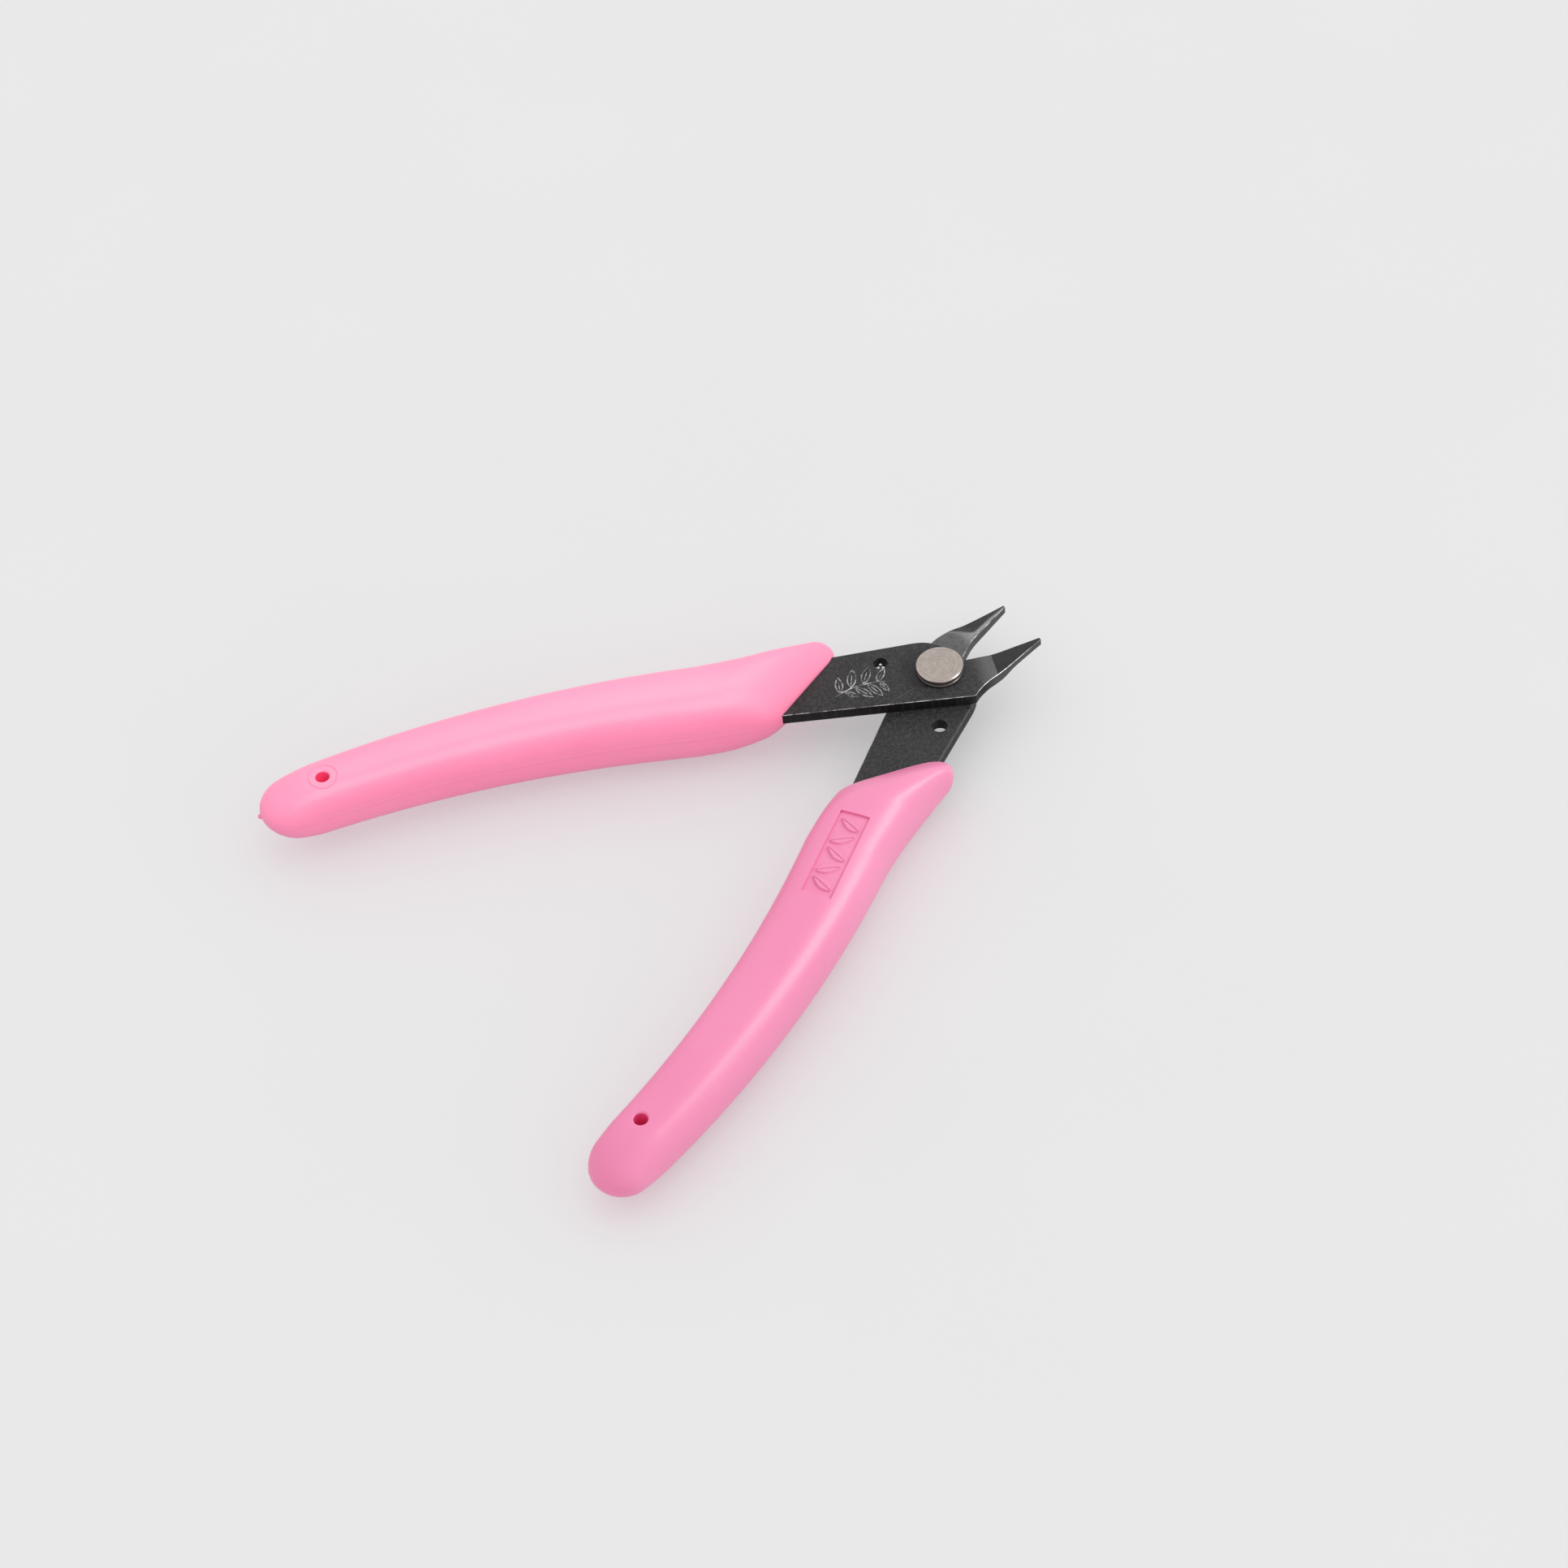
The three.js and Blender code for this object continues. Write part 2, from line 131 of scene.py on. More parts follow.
def lathe(profile, steps, centre=(0, 0), closed=False, material=0):
    """Turns (radius, z) points about a vertical axis; the profile is closed or begins and ends on it."""
    bm = bmesh.new()
    turns = [2 * math.pi * i / steps for i in range(steps)]
    cx, cy = centre
    rings = []
    for r, z in profile:
        if r < 1e-6:
            rings.append([bm.verts.new((cx, cy, z))])
        else:
            rings.append([bm.verts.new((cx + r * math.cos(t), cy + r * math.sin(t), z)) for t in turns])
    pairs = list(zip(rings, rings[1:])) + ([(rings[-1], rings[0])] if closed else [])
    for a, b in pairs:
        for i in range(steps):
            j = (i + 1) % steps
            if len(a) == 1:
                corners = (a[0], b[j], b[i])
            elif len(b) == 1:
                corners = (a[i], a[j], b[0])
            else:
                corners = (a[i], a[j], b[j], b[i])
            bm.faces.new(corners).material_index = material
    bmesh.ops.recalc_face_normals(bm, faces=bm.faces)
    return bm


TAPER_STEPS = 3


def tube(path, radius, sides, taper=0.0):
    """A round bar along 3-D points, with pointed ends; taper thins its last three steps."""
    bm = bmesh.new()
    frames = []
    up = Vector((0.13, 0.21, 0.97))  # along no stretch of any path
    for i, p in enumerate(path):
        ahead = (path[min(i + 1, len(path) - 1)] - path[max(i - 1, 0)]).normalized()
        side = ahead.cross(up).normalized()
        up = side.cross(ahead)
        frames.append((p, ahead, side.copy(), up.copy()))
    rings = []
    for i, (p, ahead, side, top) in enumerate(frames):
        end = min(i, len(frames) - 1 - i)
        r = radius * (1 - taper * (1 - min(1, end / TAPER_STEPS)) ** 2)
        ring = []
        for k in range(sides):
            t = 2 * math.pi * k / sides
            ring.append(bm.verts.new(p + r * (math.cos(t) * side + math.sin(t) * top)))
        rings.append(ring)
    for a, b in zip(rings, rings[1:]):
        band(bm, a, b)
    for ring, (p, ahead, _, _), way in ((rings[0], frames[0], -1), (rings[-1], frames[-1], 1)):
        tip = bm.verts.new(p + way * ahead * radius * 0.5)
        for k in range(sides):
            bm.faces.new((ring[k], ring[(k + 1) % sides], tip))
    bmesh.ops.recalc_face_normals(bm, faces=bm.faces)
    return bm


def loop_tube(path, radius, sides=8):
    """A closed ring of round section lying roughly level."""
    bm = bmesh.new()
    turns = [2 * math.pi * k / sides for k in range(sides)]
    rings = []
    count = len(path)
    for i, p in enumerate(path):
        ahead = (path[(i + 1) % count] - path[i - 1]).normalized()
        side = ahead.cross(Vector((0, 0, 1))).normalized()
        top = side.cross(ahead)
        rings.append([bm.verts.new(p + radius * (math.cos(t) * side + math.sin(t) * top)) for t in turns])
    for i in range(count):
        band(bm, rings[i], rings[(i + 1) % count])
    bmesh.ops.recalc_face_normals(bm, faces=bm.faces)
    return bm


def baked(obj):
    """Replaces an object's mesh with what its modifiers make of it."""
    dg = bpy.context.evaluated_depsgraph_get()
    mesh = bpy.data.meshes.new_from_object(obj.evaluated_get(dg))
    old = obj.data
    obj.modifiers.clear()
    obj.data = mesh
    bpy.data.meshes.remove(old)
    return obj


def cut(obj, *cutters, operation="DIFFERENCE"):
    """Cuts the cutters out of an object, or joins them to it, and removes them."""
    for cutter in cutters:
        m = obj.modifiers.new("cut", "BOOLEAN")
        m.operation = operation
        m.solver = "EXACT"
        m.object = cutter
    baked(obj)
    for cutter in cutters:
        mesh = cutter.data
        bpy.data.objects.remove(cutter)
        bpy.data.meshes.remove(mesh)
    return obj


def smooth(obj, degrees):
    """Smooth shading with sharp edges where faces meet at more than an angle."""
    bm = bmesh.new()
    bm.from_mesh(obj.data)
    for f in bm.faces:
        f.smooth = True
    for e in bm.edges:
        e.smooth = len(e.link_faces) == 2 and e.calc_face_angle(0) < math.radians(degrees)
    bm.to_mesh(obj.data)
    bm.free()


def surface(obj):
    """The object's faces, ready for rays."""
    return BVHTree.FromPolygons([v.co for v in obj.data.vertices], [p.vertices for p in obj.data.polygons])


# ---------- materials ----------

class Look:
    """A node material: a Principled BSDF and short calls for the nodes that feed it.

    Lengths are millimetres; the coordinates are those of the row frame, in metres.
    """

    def __init__(self, name, **values):
        self.material = bpy.data.materials.new(name)
        self.material.use_nodes = True
        self.tree = self.material.node_tree
        self.shader = self.tree.nodes["Principled BSDF"]
        self.coords = self.tree.nodes.new("ShaderNodeTexCoord").outputs["Object"]
        self.set(**values)

    def set(self, **values):
        for key, value in values.items():
            socket = self.shader.inputs[key.replace("_", " ")]
            if isinstance(value, bpy.types.NodeSocket):
                self.tree.links.new(value, socket)
            else:
                socket.default_value = value

    def _feed(self, node, index, value):
        if isinstance(value, bpy.types.NodeSocket):
            self.tree.links.new(value, node.inputs[index])
        else:
            node.inputs[index].default_value = value

    def math(self, operation, *values, clamp=False):
        node = self.tree.nodes.new("ShaderNodeMath")
        node.operation = operation
        node.use_clamp = clamp
        for i, value in enumerate(values):
            self._feed(node, i, value)
        return node.outputs[0]

    def noise(self, per_mm, detail, roughness=0.5, stretch=(1, 1, 1), offset=(0, 0, 0), turn=0.0):
        mapping = self.tree.nodes.new("ShaderNodeMapping")
        mapping.inputs["Location"].default_value = offset
        mapping.inputs["Rotation"].default_value = (0, 0, math.radians(turn))
        mapping.inputs["Scale"].default_value = [1000 * per_mm * s for s in stretch]
        self.tree.links.new(self.coords, mapping.inputs["Vector"])
        node = self.tree.nodes.new("ShaderNodeTexNoise")
        node.inputs["Scale"].default_value = 1.0
        node.inputs["Detail"].default_value = detail
        node.inputs["Roughness"].default_value = roughness
        self.tree.links.new(mapping.outputs[0], node.inputs["Vector"])
        return node.outputs["Fac"]

    def ramp(self, value, low, high, out_low=0.0, out_high=1.0):
        node = self.tree.nodes.new("ShaderNodeMapRange")
        node.interpolation_type = "SMOOTHSTEP"
        node.clamp = True
        for key, v in (("From Min", low), ("From Max", high), ("To Min", out_low), ("To Max", out_high)):
            node.inputs[key].default_value = v
        self.tree.links.new(value, node.inputs["Value"])
        return node.outputs["Result"]

    def mix(self, factor, a, b):
        node = self.tree.nodes.new("ShaderNodeMix")
        node.data_type = "RGBA"
        for key, value in ((0, factor), (6, a), (7, b)):  # the colour form's own sockets
            if isinstance(value, tuple) and len(value) == 3:
                value = (*value, 1.0)
            self._feed(node, key, value)
        return node.outputs[2]

    def axis(self, index, centre):
        """Distance in mm along one axis of the row frame from a coordinate in metres."""
        node = self.tree.nodes.new("ShaderNodeSeparateXYZ")
        self.tree.links.new(self.coords, node.inputs[0])
        return self.math("MULTIPLY", self.math("SUBTRACT", node.outputs[index], centre), 1000.0)

    def radius(self, point):
        """Distance in mm from a vertical axis through a point of the row frame."""
        x, y = self.axis(0, point.x), self.axis(1, point.y)
        return self.math("SQRT", self.math("ADD", self.math("MULTIPLY", x, x), self.math("MULTIPLY", y, y)))

    def bump(self, height, distance_mm, strength, under=None):
        node = self.tree.nodes.new("ShaderNodeBump")
        node.inputs["Strength"].default_value = strength
        node.inputs["Distance"].default_value = distance_mm * MM
        self.tree.links.new(height, node.inputs["Height"])
        if under is not None:
            self.tree.links.new(under, node.inputs["Normal"])
        return node.outputs[0]


def grip_look():
    """Satin pink vinyl, slightly translucent, with the mould's parting line at half height."""
    look = Look("pink_vinyl", Specular_IOR_Level=0.5, Subsurface_Weight=0.12,
                Subsurface_Radius=(1.0, 0.45, 0.5), Subsurface_Scale=1.2 * MM)
    broad = look.noise(0.05, detail=2)
    pink = look.mix(look.ramp(broad, 0.3, 0.7), (0.82, 0.212, 0.40), (0.84, 0.23, 0.42))
    grain = look.noise(3.2, detail=2)
    soft = look.noise(0.5, detail=1)
    look.set(Base_Color=pink, Roughness=look.ramp(grain, 0.3, 0.7, 0.34, 0.41))
    seam = look.ramp(look.math("ABSOLUTE", look.axis(2, MID_Z)), 0.0, 0.16, 1.0, 0.0)
    lower = look.bump(soft, 0.03, 0.25)
    middle = look.bump(grain, 0.012, 0.5, lower)
    look.set(Normal=look.bump(seam, 0.03, 0.6, middle))
    return look.material


def shaded_hole_look():
    """The deep of a blind hole: a darker, redder pink, painted shade of the recess, with a little light
    carried through the pink.
    """
    look = Look("hole_painted_shade", Roughness=0.55, Subsurface_Weight=0.1, Subsurface_Radius=(1.0, 0.3, 0.4),
                Subsurface_Scale=0.8 * MM)
    grain = look.noise(2.0, detail=2)
    look.set(Base_Color=look.mix(look.ramp(grain, 0.3, 0.7), (0.80, 0.055, 0.20), (0.86, 0.075, 0.24)))
    look.set(Normal=look.bump(grain, 0.02, 0.4))
    return look.material


def oxide(name):
    """Black oxide over blasted steel: dark, with a fine grain that catches the light."""
    look = Look(name, Specular_IOR_Level=0.32)
    fine = look.noise(7.0, detail=4, roughness=0.9)
    coarse = look.noise(1.6, detail=4, roughness=0.7)
    cloud = look.noise(0.22, detail=3)
    dark = look.mix(look.ramp(cloud, 0.3, 0.7), (0.0035, 0.0035, 0.004), (0.0095, 0.009, 0.0095))
    grain = look.math("ADD", look.math("MULTIPLY", fine, 0.7), look.math("MULTIPLY", coarse, 0.3))
    colour = look.mix(look.ramp(grain, 0.44, 0.62), dark, (0.052, 0.050, 0.050))
    specks = look.noise(4.0, detail=2, offset=(3, 1, 7))
    colour = look.mix(look.ramp(specks, 0.66, 0.74), colour, (0.105, 0.103, 0.10))
    along = look.noise(0.9, detail=1, stretch=(0.08, 9, 1), turn=31)
    across = look.noise(0.9, detail=1, stretch=(9, 0.1, 1), turn=12, offset=(5, 2, 0))
    scratch = look.math("MAXIMUM", look.ramp(along, 0.79, 0.83), look.ramp(across, 0.80, 0.84))
    colour = look.mix(scratch, colour, (0.14, 0.14, 0.14))
    look.set(Base_Color=colour, Roughness=look.ramp(coarse, 0.3, 0.7, 0.38, 0.56))
    lower = look.bump(coarse, 0.02, 0.6)
    look.set(Normal=look.bump(fine, 0.035, 0.9, lower))
    return look


def worn_look():
    """A thin edge where the oxide has rubbed through to steel."""
    look = Look("worn_edge", Metallic=0.8)
    wear = look.noise(0.55, detail=5, roughness=0.7)
    colour = look.mix(look.ramp(wear, 0.36, 0.64), (0.08, 0.08, 0.08), (0.56, 0.55, 0.54))
    look.set(Base_Color=colour, Roughness=look.ramp(wear, 0.3, 0.6, 0.5, 0.34))
    look.set(Normal=look.bump(look.noise(6.0, detail=2), 0.01, 0.5))
    return look.material


def shear_look():
    """The sheared side of the plate, smeared along the punch and oxidised."""
    look = Look("sheared_side", Specular_IOR_Level=0.18)
    streaks = look.noise(0.8, detail=3, stretch=(2.2, 2.2, 0.12))
    grain = look.noise(4.0, detail=3, roughness=0.6)
    colour = look.mix(look.ramp(streaks, 0.50, 0.80), (0.0035, 0.0035, 0.0040), (0.016, 0.015, 0.015))
    colour = look.mix(look.ramp(grain, 0.62, 0.78), colour, (0.045, 0.044, 0.043))
    # lighter along the jaws: ground once, and painted light on the side walls there, which face the light
    ahead = look.ramp(look.axis(0, PIVOT.x), 3.5, 6.5)
    ground_and_lit_jaws = look.math("MULTIPLY", ahead, look.ramp(grain, 0.3, 0.7, 0.55, 1.0))
    colour = look.mix(ground_and_lit_jaws, colour, (0.052, 0.052, 0.053))
    look.set(Base_Color=colour, Roughness=look.ramp(grain, 0.3, 0.7, 0.40, 0.6))
    look.set(Normal=look.bump(grain, 0.02, 0.7, look.bump(streaks, 0.02, 0.3)))
    return look.material


def ground_look(name, low, high, rough, spec, sheen_and_rub_rim=False):
    """Fine ground steel under a thin oxide, with the lines of the wheel."""
    look = Look(name, Specular_IOR_Level=spec)
    lines = look.noise(1.0, detail=3, stretch=(0.5, 6.0, 1.0), turn=-17)
    fine = look.noise(6.0, detail=4, roughness=0.8)
    colour = look.mix(look.ramp(lines, 0.3, 0.75), (low,) * 3, (high,) * 3)
    colour = look.mix(look.ramp(fine, 0.52, 0.74), colour, (high * 3.4,) * 3)
    if sheen_and_rub_rim:
        # the hollow's shallow rim carries the same rubbing and painted highlight as the face round it,
        # lighter towards the tip
        depth = look.math("SUBTRACT", look.math("ABSOLUTE", look.axis(2, MID_Z)), BLADE_FACE)
        ahead = look.axis(0, PIVOT.x)
        rim = look.mix(look.ramp(ahead, 6.0, 11.0), (0.075, 0.075, 0.076), (0.26, 0.258, 0.26))
        rim = look.mix(look.ramp(fine, 0.3, 0.6), rim, (0.12, 0.12, 0.12))
        colour = look.mix(look.ramp(depth, 0.0, 0.13), rim, colour)
    look.set(Base_Color=colour, Roughness=look.ramp(fine, 0.3, 0.7, rough, rough + 0.14))
    look.set(Normal=look.bump(lines, 0.006, 0.4, look.bump(fine, 0.012, 0.6)))
    return look.material


def nickel_look():
    """Nickel plate over a turned face: faint uneven rings, blotches, a smoother rim."""
    look = Look("nickel", Metallic=1.0)
    blotch = look.noise(1.0, detail=4, roughness=0.65)
    fine = look.noise(5.0, detail=3, roughness=0.6)
    around = look.radius(PIVOT)
    wander = look.noise(0.6, detail=2)
    rings = look.math("ADD", look.math("MULTIPLY", around, 9.0), look.math("MULTIPLY", wander, 9.0))
    turned = look.math("SINE", rings)
    colour = look.mix(look.ramp(blotch, 0.38, 0.62), (0.42, 0.365, 0.33), (0.485, 0.425, 0.39))
    colour = look.mix(look.math("MULTIPLY", look.ramp(turned, -1.0, 1.0), 0.22), colour, (0.30, 0.255, 0.225))
    colour = look.mix(look.ramp(fine, 0.55, 0.75, 0.0, 0.6), colour, (0.62, 0.56, 0.52))
    rim = look.ramp(around, 3.35, 3.55)
    rough = look.math("SUBTRACT", look.ramp(fine, 0.3, 0.7, 0.30, 0.42), look.math("MULTIPLY", rim, 0.10))
    look.set(Base_Color=colour, Roughness=rough)
    look.set(Normal=look.bump(turned, 0.0012, 0.4, look.bump(fine, 0.004, 0.7)))
    return look.material


def steel_look(name, colour, rough):
    """Plain steel with a little grain."""
    look = Look(name, Metallic=1.0)
    fine = look.noise(5.0, detail=3)
    dark = tuple(c * 0.75 for c in colour)
    look.set(Base_Color=look.mix(look.ramp(fine, 0.3, 0.7), dark, colour))
    look.set(Roughness=look.ramp(fine, 0.3, 0.7, rough, rough + 0.12))
    look.set(Normal=look.bump(fine, 0.006, 0.4))
    return look.material


def highlit_mark_look():
    """The stamped lines, lighter in patches: a painted highlight for the light caught along their rims."""
    look = Look("stamped_line_highlit", Metallic=0.4, Specular_IOR_Level=0.5)
    wear = look.noise(1.4, detail=3, roughness=0.6)
    colour = look.mix(look.ramp(wear, 0.40, 0.62), (0.06, 0.06, 0.06), (0.34, 0.335, 0.33))
    look.set(Base_Color=colour, Roughness=0.45)
    look.set(Normal=look.bump(look.noise(5.0, detail=2), 0.012, 0.5))
    return look.material


def blade_looks(turned):
    """The looks in the order of FACE, SIDE, WORN, HOLLOW and FACET."""
    face = oxide("rear_blade_black" if turned else "front_blade_black")
    base = face.shader.inputs["Base Color"].links[0].from_socket
    x, y = face.axis(0, PIVOT.x), face.axis(1, PIVOT.y)
    patch = face.noise(1.1, detail=3)
    if turned:
        # lighter near the pivot where the other blade slides over the mating face, plus a painted highlight
        # that grows towards the land
        away = face.radius(PIVOT)
        near = face.math("MULTIPLY", face.ramp(away, 3.6, 5.0), face.ramp(y, -1.0, 1.5))
        sheen_and_rub = face.math("MULTIPLY", near, face.ramp(patch, 0.1, 0.6, 0.45, 0.9), clamp=True)
        grain = face.noise(5.5, detail=4, roughness=0.9, offset=(2, 5, 1))
        light = face.mix(face.ramp(x, 7.5, 11.0), (0.085, 0.085, 0.086), (0.30, 0.298, 0.30))
        light = face.mix(face.ramp(grain, 0.45, 0.70, 0.0, 0.7), light, (0.16, 0.16, 0.16))
        face.set(Base_Color=face.mix(sheen_and_rub, base, light))
    else:
        # painted highlight: lighter along the start of the outer bevel
        p, q = (Vector(jaw_point(FRONT_JAW, *end)) for end in BEVEL_LINE)
        along = (q - p).normalized()
        ahead = Vector((-along.y, along.x))
        run = face.math("ADD", face.math("MULTIPLY", face.math("SUBTRACT", x, p.x), ahead.x),
                        face.math("MULTIPLY", face.math("SUBTRACT", y, p.y), ahead.y))
        patchy = face.ramp(patch, 0.1, 0.6, 0.7, 1.0)
        sheen_and_rub = face.math("MULTIPLY", face.ramp(run, -4.2, -0.6), patchy, clamp=True)
        face.set(Base_Color=face.mix(sheen_and_rub, base, (0.085, 0.085, 0.087)))
    return [face.material, LOOKS["side"], LOOKS["worn"], LOOKS["hollow"], LOOKS["facet"]]


# ---------- blades ----------

FACE, SIDE, WORN, HOLLOW, FACET = range(5)  # a blade's material slots
BLADE_FACE, BLADE_TOP = 0.05, 2.05
BORE_R = 1.95
WIRE_HOLE, WIRE_HOLE_R, REAR_HOLE_MORE = (-6.2, 7.6), 1.1, 0.12
HOLE_EASE = 0.07
POCKET_R, POCKET_D = 3.1, 0.65  # for the spring's coil
TIP_X, TIP_Y = 17.4, -5.15
TIP_THIN = 0.6  # how much the outer bevel takes off the tip's thickness
BEVEL_LINE = ((8.85, -2.4), (6.4, -7.6))
HOLLOW_D, HOLLOW_RUN = 0.42, 2.4  # depth, and the width over which it is reached
CRISP_X, CRISP_RUN = 9.0, 2.0  # the hollow's edge is soft behind this and crisp in front of it
ROLL_R, ROLL_Y, ROLL_EASE, ROLL_BACK_X, ROLL_SHOULDER_Y = 0.42, 0.3, 2.5, -14, 8.0
EDGE_R = 0.09
EDGE_STEPS, ROLL_STEPS = 3, 7
FRONT_JAW = (2.2, 0.975)  # turn in degrees, reach as a factor
REAR_JAW = (-2.0, 1.05)
PAST = 1.0  # how far cutters stand out of what they cut


def jaw_point(jaw, x, y):
    """A point of the jaw, which is turned and scaled a little about the pivot, each half in its own way."""
    turn, reach = math.radians(jaw[0]), jaw[1]
    x, y = x * reach, y * reach
    return (x * math.cos(turn) - y * math.sin(turn), x * math.sin(turn) + y * math.cos(turn))


def blade_outline(jaw):
    def at(x, y):
        return jaw_point(jaw, x, y)

    # the plate runs on inside the grip, so it has no shoulder there
    return (
        quad((1.8, -7.5), (1.3, -7.9), (0.7, -7.53), 12)
        + line((0.7, -7.53), (-27.4, 10.24))
        + line((-27.4, 10.24), (-13.4, 14.75))
        + line((-13.4, 14.75), (-0.3, 8.1))
        + quad((-0.3, 8.1), (0.9, 7.5), (1.65, 6.93), 8)
        + cubic((1.65, 6.93), (3.2, 5.8), (4.4, 3.4), (4.4, 0.4), 24)
        + quad((4.4, 0.4), (4.35, -0.55), at(4.75, -0.85), 10)
        + line(at(4.75, -0.85), at(8.2, -2.63))
        + quad(at(8.2, -2.63), at(9.0, -3.0), at(10.2, -3.28), 10)
        + line(at(10.2, -3.28), at(TIP_X, -4.9))
        + quad(at(TIP_X, -4.9), at(TIP_X + 0.12, TIP_Y), at(TIP_X, -5.4), 2)
        + line(at(TIP_X, -5.4), at(9.5, -6.68))
        + quad(at(9.5, -6.68), at(6.9, -7.1), at(4.9, -7.02), 10)
        + quad(at(4.9, -7.02), (2.9, -7.0), (1.8, -7.5), 8)
    )


def hollow_cutter(jaw):
    """The hollow ground out of the mating face behind the cutting edge, with a smooth run-out at its root."""
    rim = [Vector(p) for p in ((TIP_X + 1.6, TIP_Y), (14.0, -4.60), (10.9, -4.05))]
    rim += cubic((10.5, -3.98), (9.9, -4.0), (9.3, -4.6), (8.2, -5.7), 12)
    rim += line((8.2, -5.7), (5.2, -8.9), 2) + [Vector((5.2, -8.9))]

    def depth(x, y):
        spot = Vector((x, y))
        nearest, inside = math.inf, True
        for p, q in zip(rim, rim[1:]):
            t = min(1.0, max(0.0, (spot - p).dot(q - p) / (q - p).length_squared))
            offset = spot - p.lerp(q, t)
            if offset.length < nearest:
                nearest = offset.length
                inside = (q - p).x * offset.y - (q - p).y * offset.x > 0
        d = nearest if inside else -nearest
        # the small slopes keep the cutter from lying flush with what it cuts
        if d < 0:
            return max(-0.3, 0.15 * d)
        t = min(1.0, d / HOLLOW_RUN)
        crisp = HOLLOW_D * (1 - (1 - t) ** 2) + 0.03 * d
        gentle = (HOLLOW_D - 0.06) * t * t * (3 - 2 * t) + 0.05 * d
        return lerp(gentle, crisp, min(1.0, max(0.0, (x - CRISP_X) / CRISP_RUN)))

    nx, ny = 90, 44
    root, reach, low, rise = 4.6, TIP_X + 1.2, -8.8, 5.6
    bm = bmesh.new()
    grid = []
    for i in range(nx + 1):
        row = []
        for j in range(ny + 1):
            x, y = root + (reach - root) * i / nx, low + rise * j / ny
            spot = jaw_point(jaw, x, y)
            row.append(bm.verts.new((spot[0], spot[1], BLADE_FACE + depth(x, y))))
        grid.append(row)
    for a, b in zip(grid, grid[1:]):
        for j in range(ny):
            bm.faces.new((a[j], b[j], b[j + 1], a[j + 1]))
    loop = grid[0] + [row[-1] for row in grid[1:]]
    loop += grid[-1][:-1][::-1] + [row[0] for row in grid[1:-1]][::-1]
    under = [bm.verts.new((v.co.x, v.co.y, BLADE_FACE - PAST)) for v in loop]
    for i in range(len(loop)):
        j = (i + 1) % len(loop)
        bm.faces.new((loop[i], loop[j], under[j], under[i]))
    bm.faces.new(under)
    bmesh.ops.triangulate(bm, faces=bm.faces)
    bmesh.ops.recalc_face_normals(bm, faces=bm.faces)
    for f in bm.faces:
        f.material_index = HOLLOW
    return bm


def roll_radius(p):
    """The die roll: a wide soft round along the outer edge of the mating face."""
    if p.y < ROLL_Y or p.x < ROLL_BACK_X or (p.x < 0 and p.y < ROLL_SHOULDER_Y):
        return 0.0
    return ROLL_R * min(1.0, (p.y - ROLL_Y) / ROLL_EASE)


def round_ring(bm, spot, inward, radius, steps, level, way):
    """A column of vertices from the side wall round to the outside (way 1) or the mating face (way -1)."""
    column = []
    for k in range(steps + 1):
        t = math.pi / 2 * k / steps
        at = spot + inward * radius * (1 - math.cos(t))
        column.append(bm.verts.new((at.x, at.y, level(at) - way * radius * (1 - math.sin(t)))))
    return column


def plate(points, jaw):
    """The blade's blank with its outer bevel: softened edges all round, one long edge rolled."""
    area = sum(p.x * q.y - q.x * p.y for p, q in zip(points, points[1:] + points[:1]))
    if area < 0:
        points = points[::-1]
    p, q = (Vector(jaw_point(jaw, x, y)) for x, y in BEVEL_LINE)
    ahead = Vector((-(q - p).y, (q - p).x)).normalized()
    drop = TIP_THIN / (Vector(jaw_point(jaw, TIP_X, TIP_Y)) - p).dot(ahead)

    def past(spot):
        return (spot - p).dot(ahead)

    def top(spot):
        return BLADE_TOP - drop * max(0.0, past(spot))

    # the outline, with a point added on each side where the bevel starts
    outline, creases = [], []
    for a, b in zip(points, points[1:] + points[:1]):
        outline.append(a)
        if past(a) * past(b) < 0:
            creases.append(len(outline))
            outline.append(a.lerp(b, past(a) / (past(a) - past(b))))
    bm = bmesh.new()
    count = len(outline)
    upper, lower, rolled = [], [], []
    for i, spot in enumerate(outline):
        before = (spot - outline[i - 1]).normalized()
        after = (outline[(i + 1) % count] - spot).normalized()
        m, n = Vector((-before.y, before.x)), Vector((-after.y, after.x))
        inward = (m + n) / (1 + m.dot(n))
        roll = roll_radius(spot)
        rolled.append(roll > EDGE_R)
        upper.append(round_ring(bm, spot, inward, EDGE_R, EDGE_STEPS, top, 1))
        lower.append(round_ring(bm, spot, inward, max(roll, EDGE_R), ROLL_STEPS, lambda at: BLADE_FACE, -1))
    for i in range(count):
        j = (i + 1) % count
        bm.faces.new((lower[i][0], lower[j][0], upper[j][0], upper[i][0])).material_index = SIDE
        for columns, index in ((upper, WORN), (lower, FACE if rolled[i] or rolled[j] else WORN)):
            for k in range(len(columns[i]) - 1):
                corners = (columns[i][k], columns[j][k], columns[j][k + 1], columns[i][k + 1])
                bm.faces.new(corners).material_index = index
    bm.faces.new([column[-1] for column in lower])
    first, second = creases
    for ids in (range(first, second + 1), [*range(second, count), *range(first + 1)]):
        face = bm.faces.new([upper[i][-1] for i in ids])
        spots = [outline[i] for i in ids]
        face.material_index = FACET if sum(past(spot) for spot in spots) > 0 else FACE
    bmesh.ops.recalc_face_normals(bm, faces=bm.faces)
    return bm


def disc_cutter(radius, z0, z1):
    """A disc about the pivot."""
    steps = 64
    bm = bmesh.new()
    points = arc((0, 0), radius, 0, 360, steps)
    lower, upper = ([bm.verts.new((p.x, p.y, z)) for p in points] for z in (z0, z1))
    bm.faces.new(lower[::-1])
    bm.faces.new(upper)
    for k in range(steps):
        j = (k + 1) % steps
        bm.faces.new((lower[k], lower[j], upper[j], upper[k]))
    for f in bm.faces:
        f.material_index = SIDE
    return bm


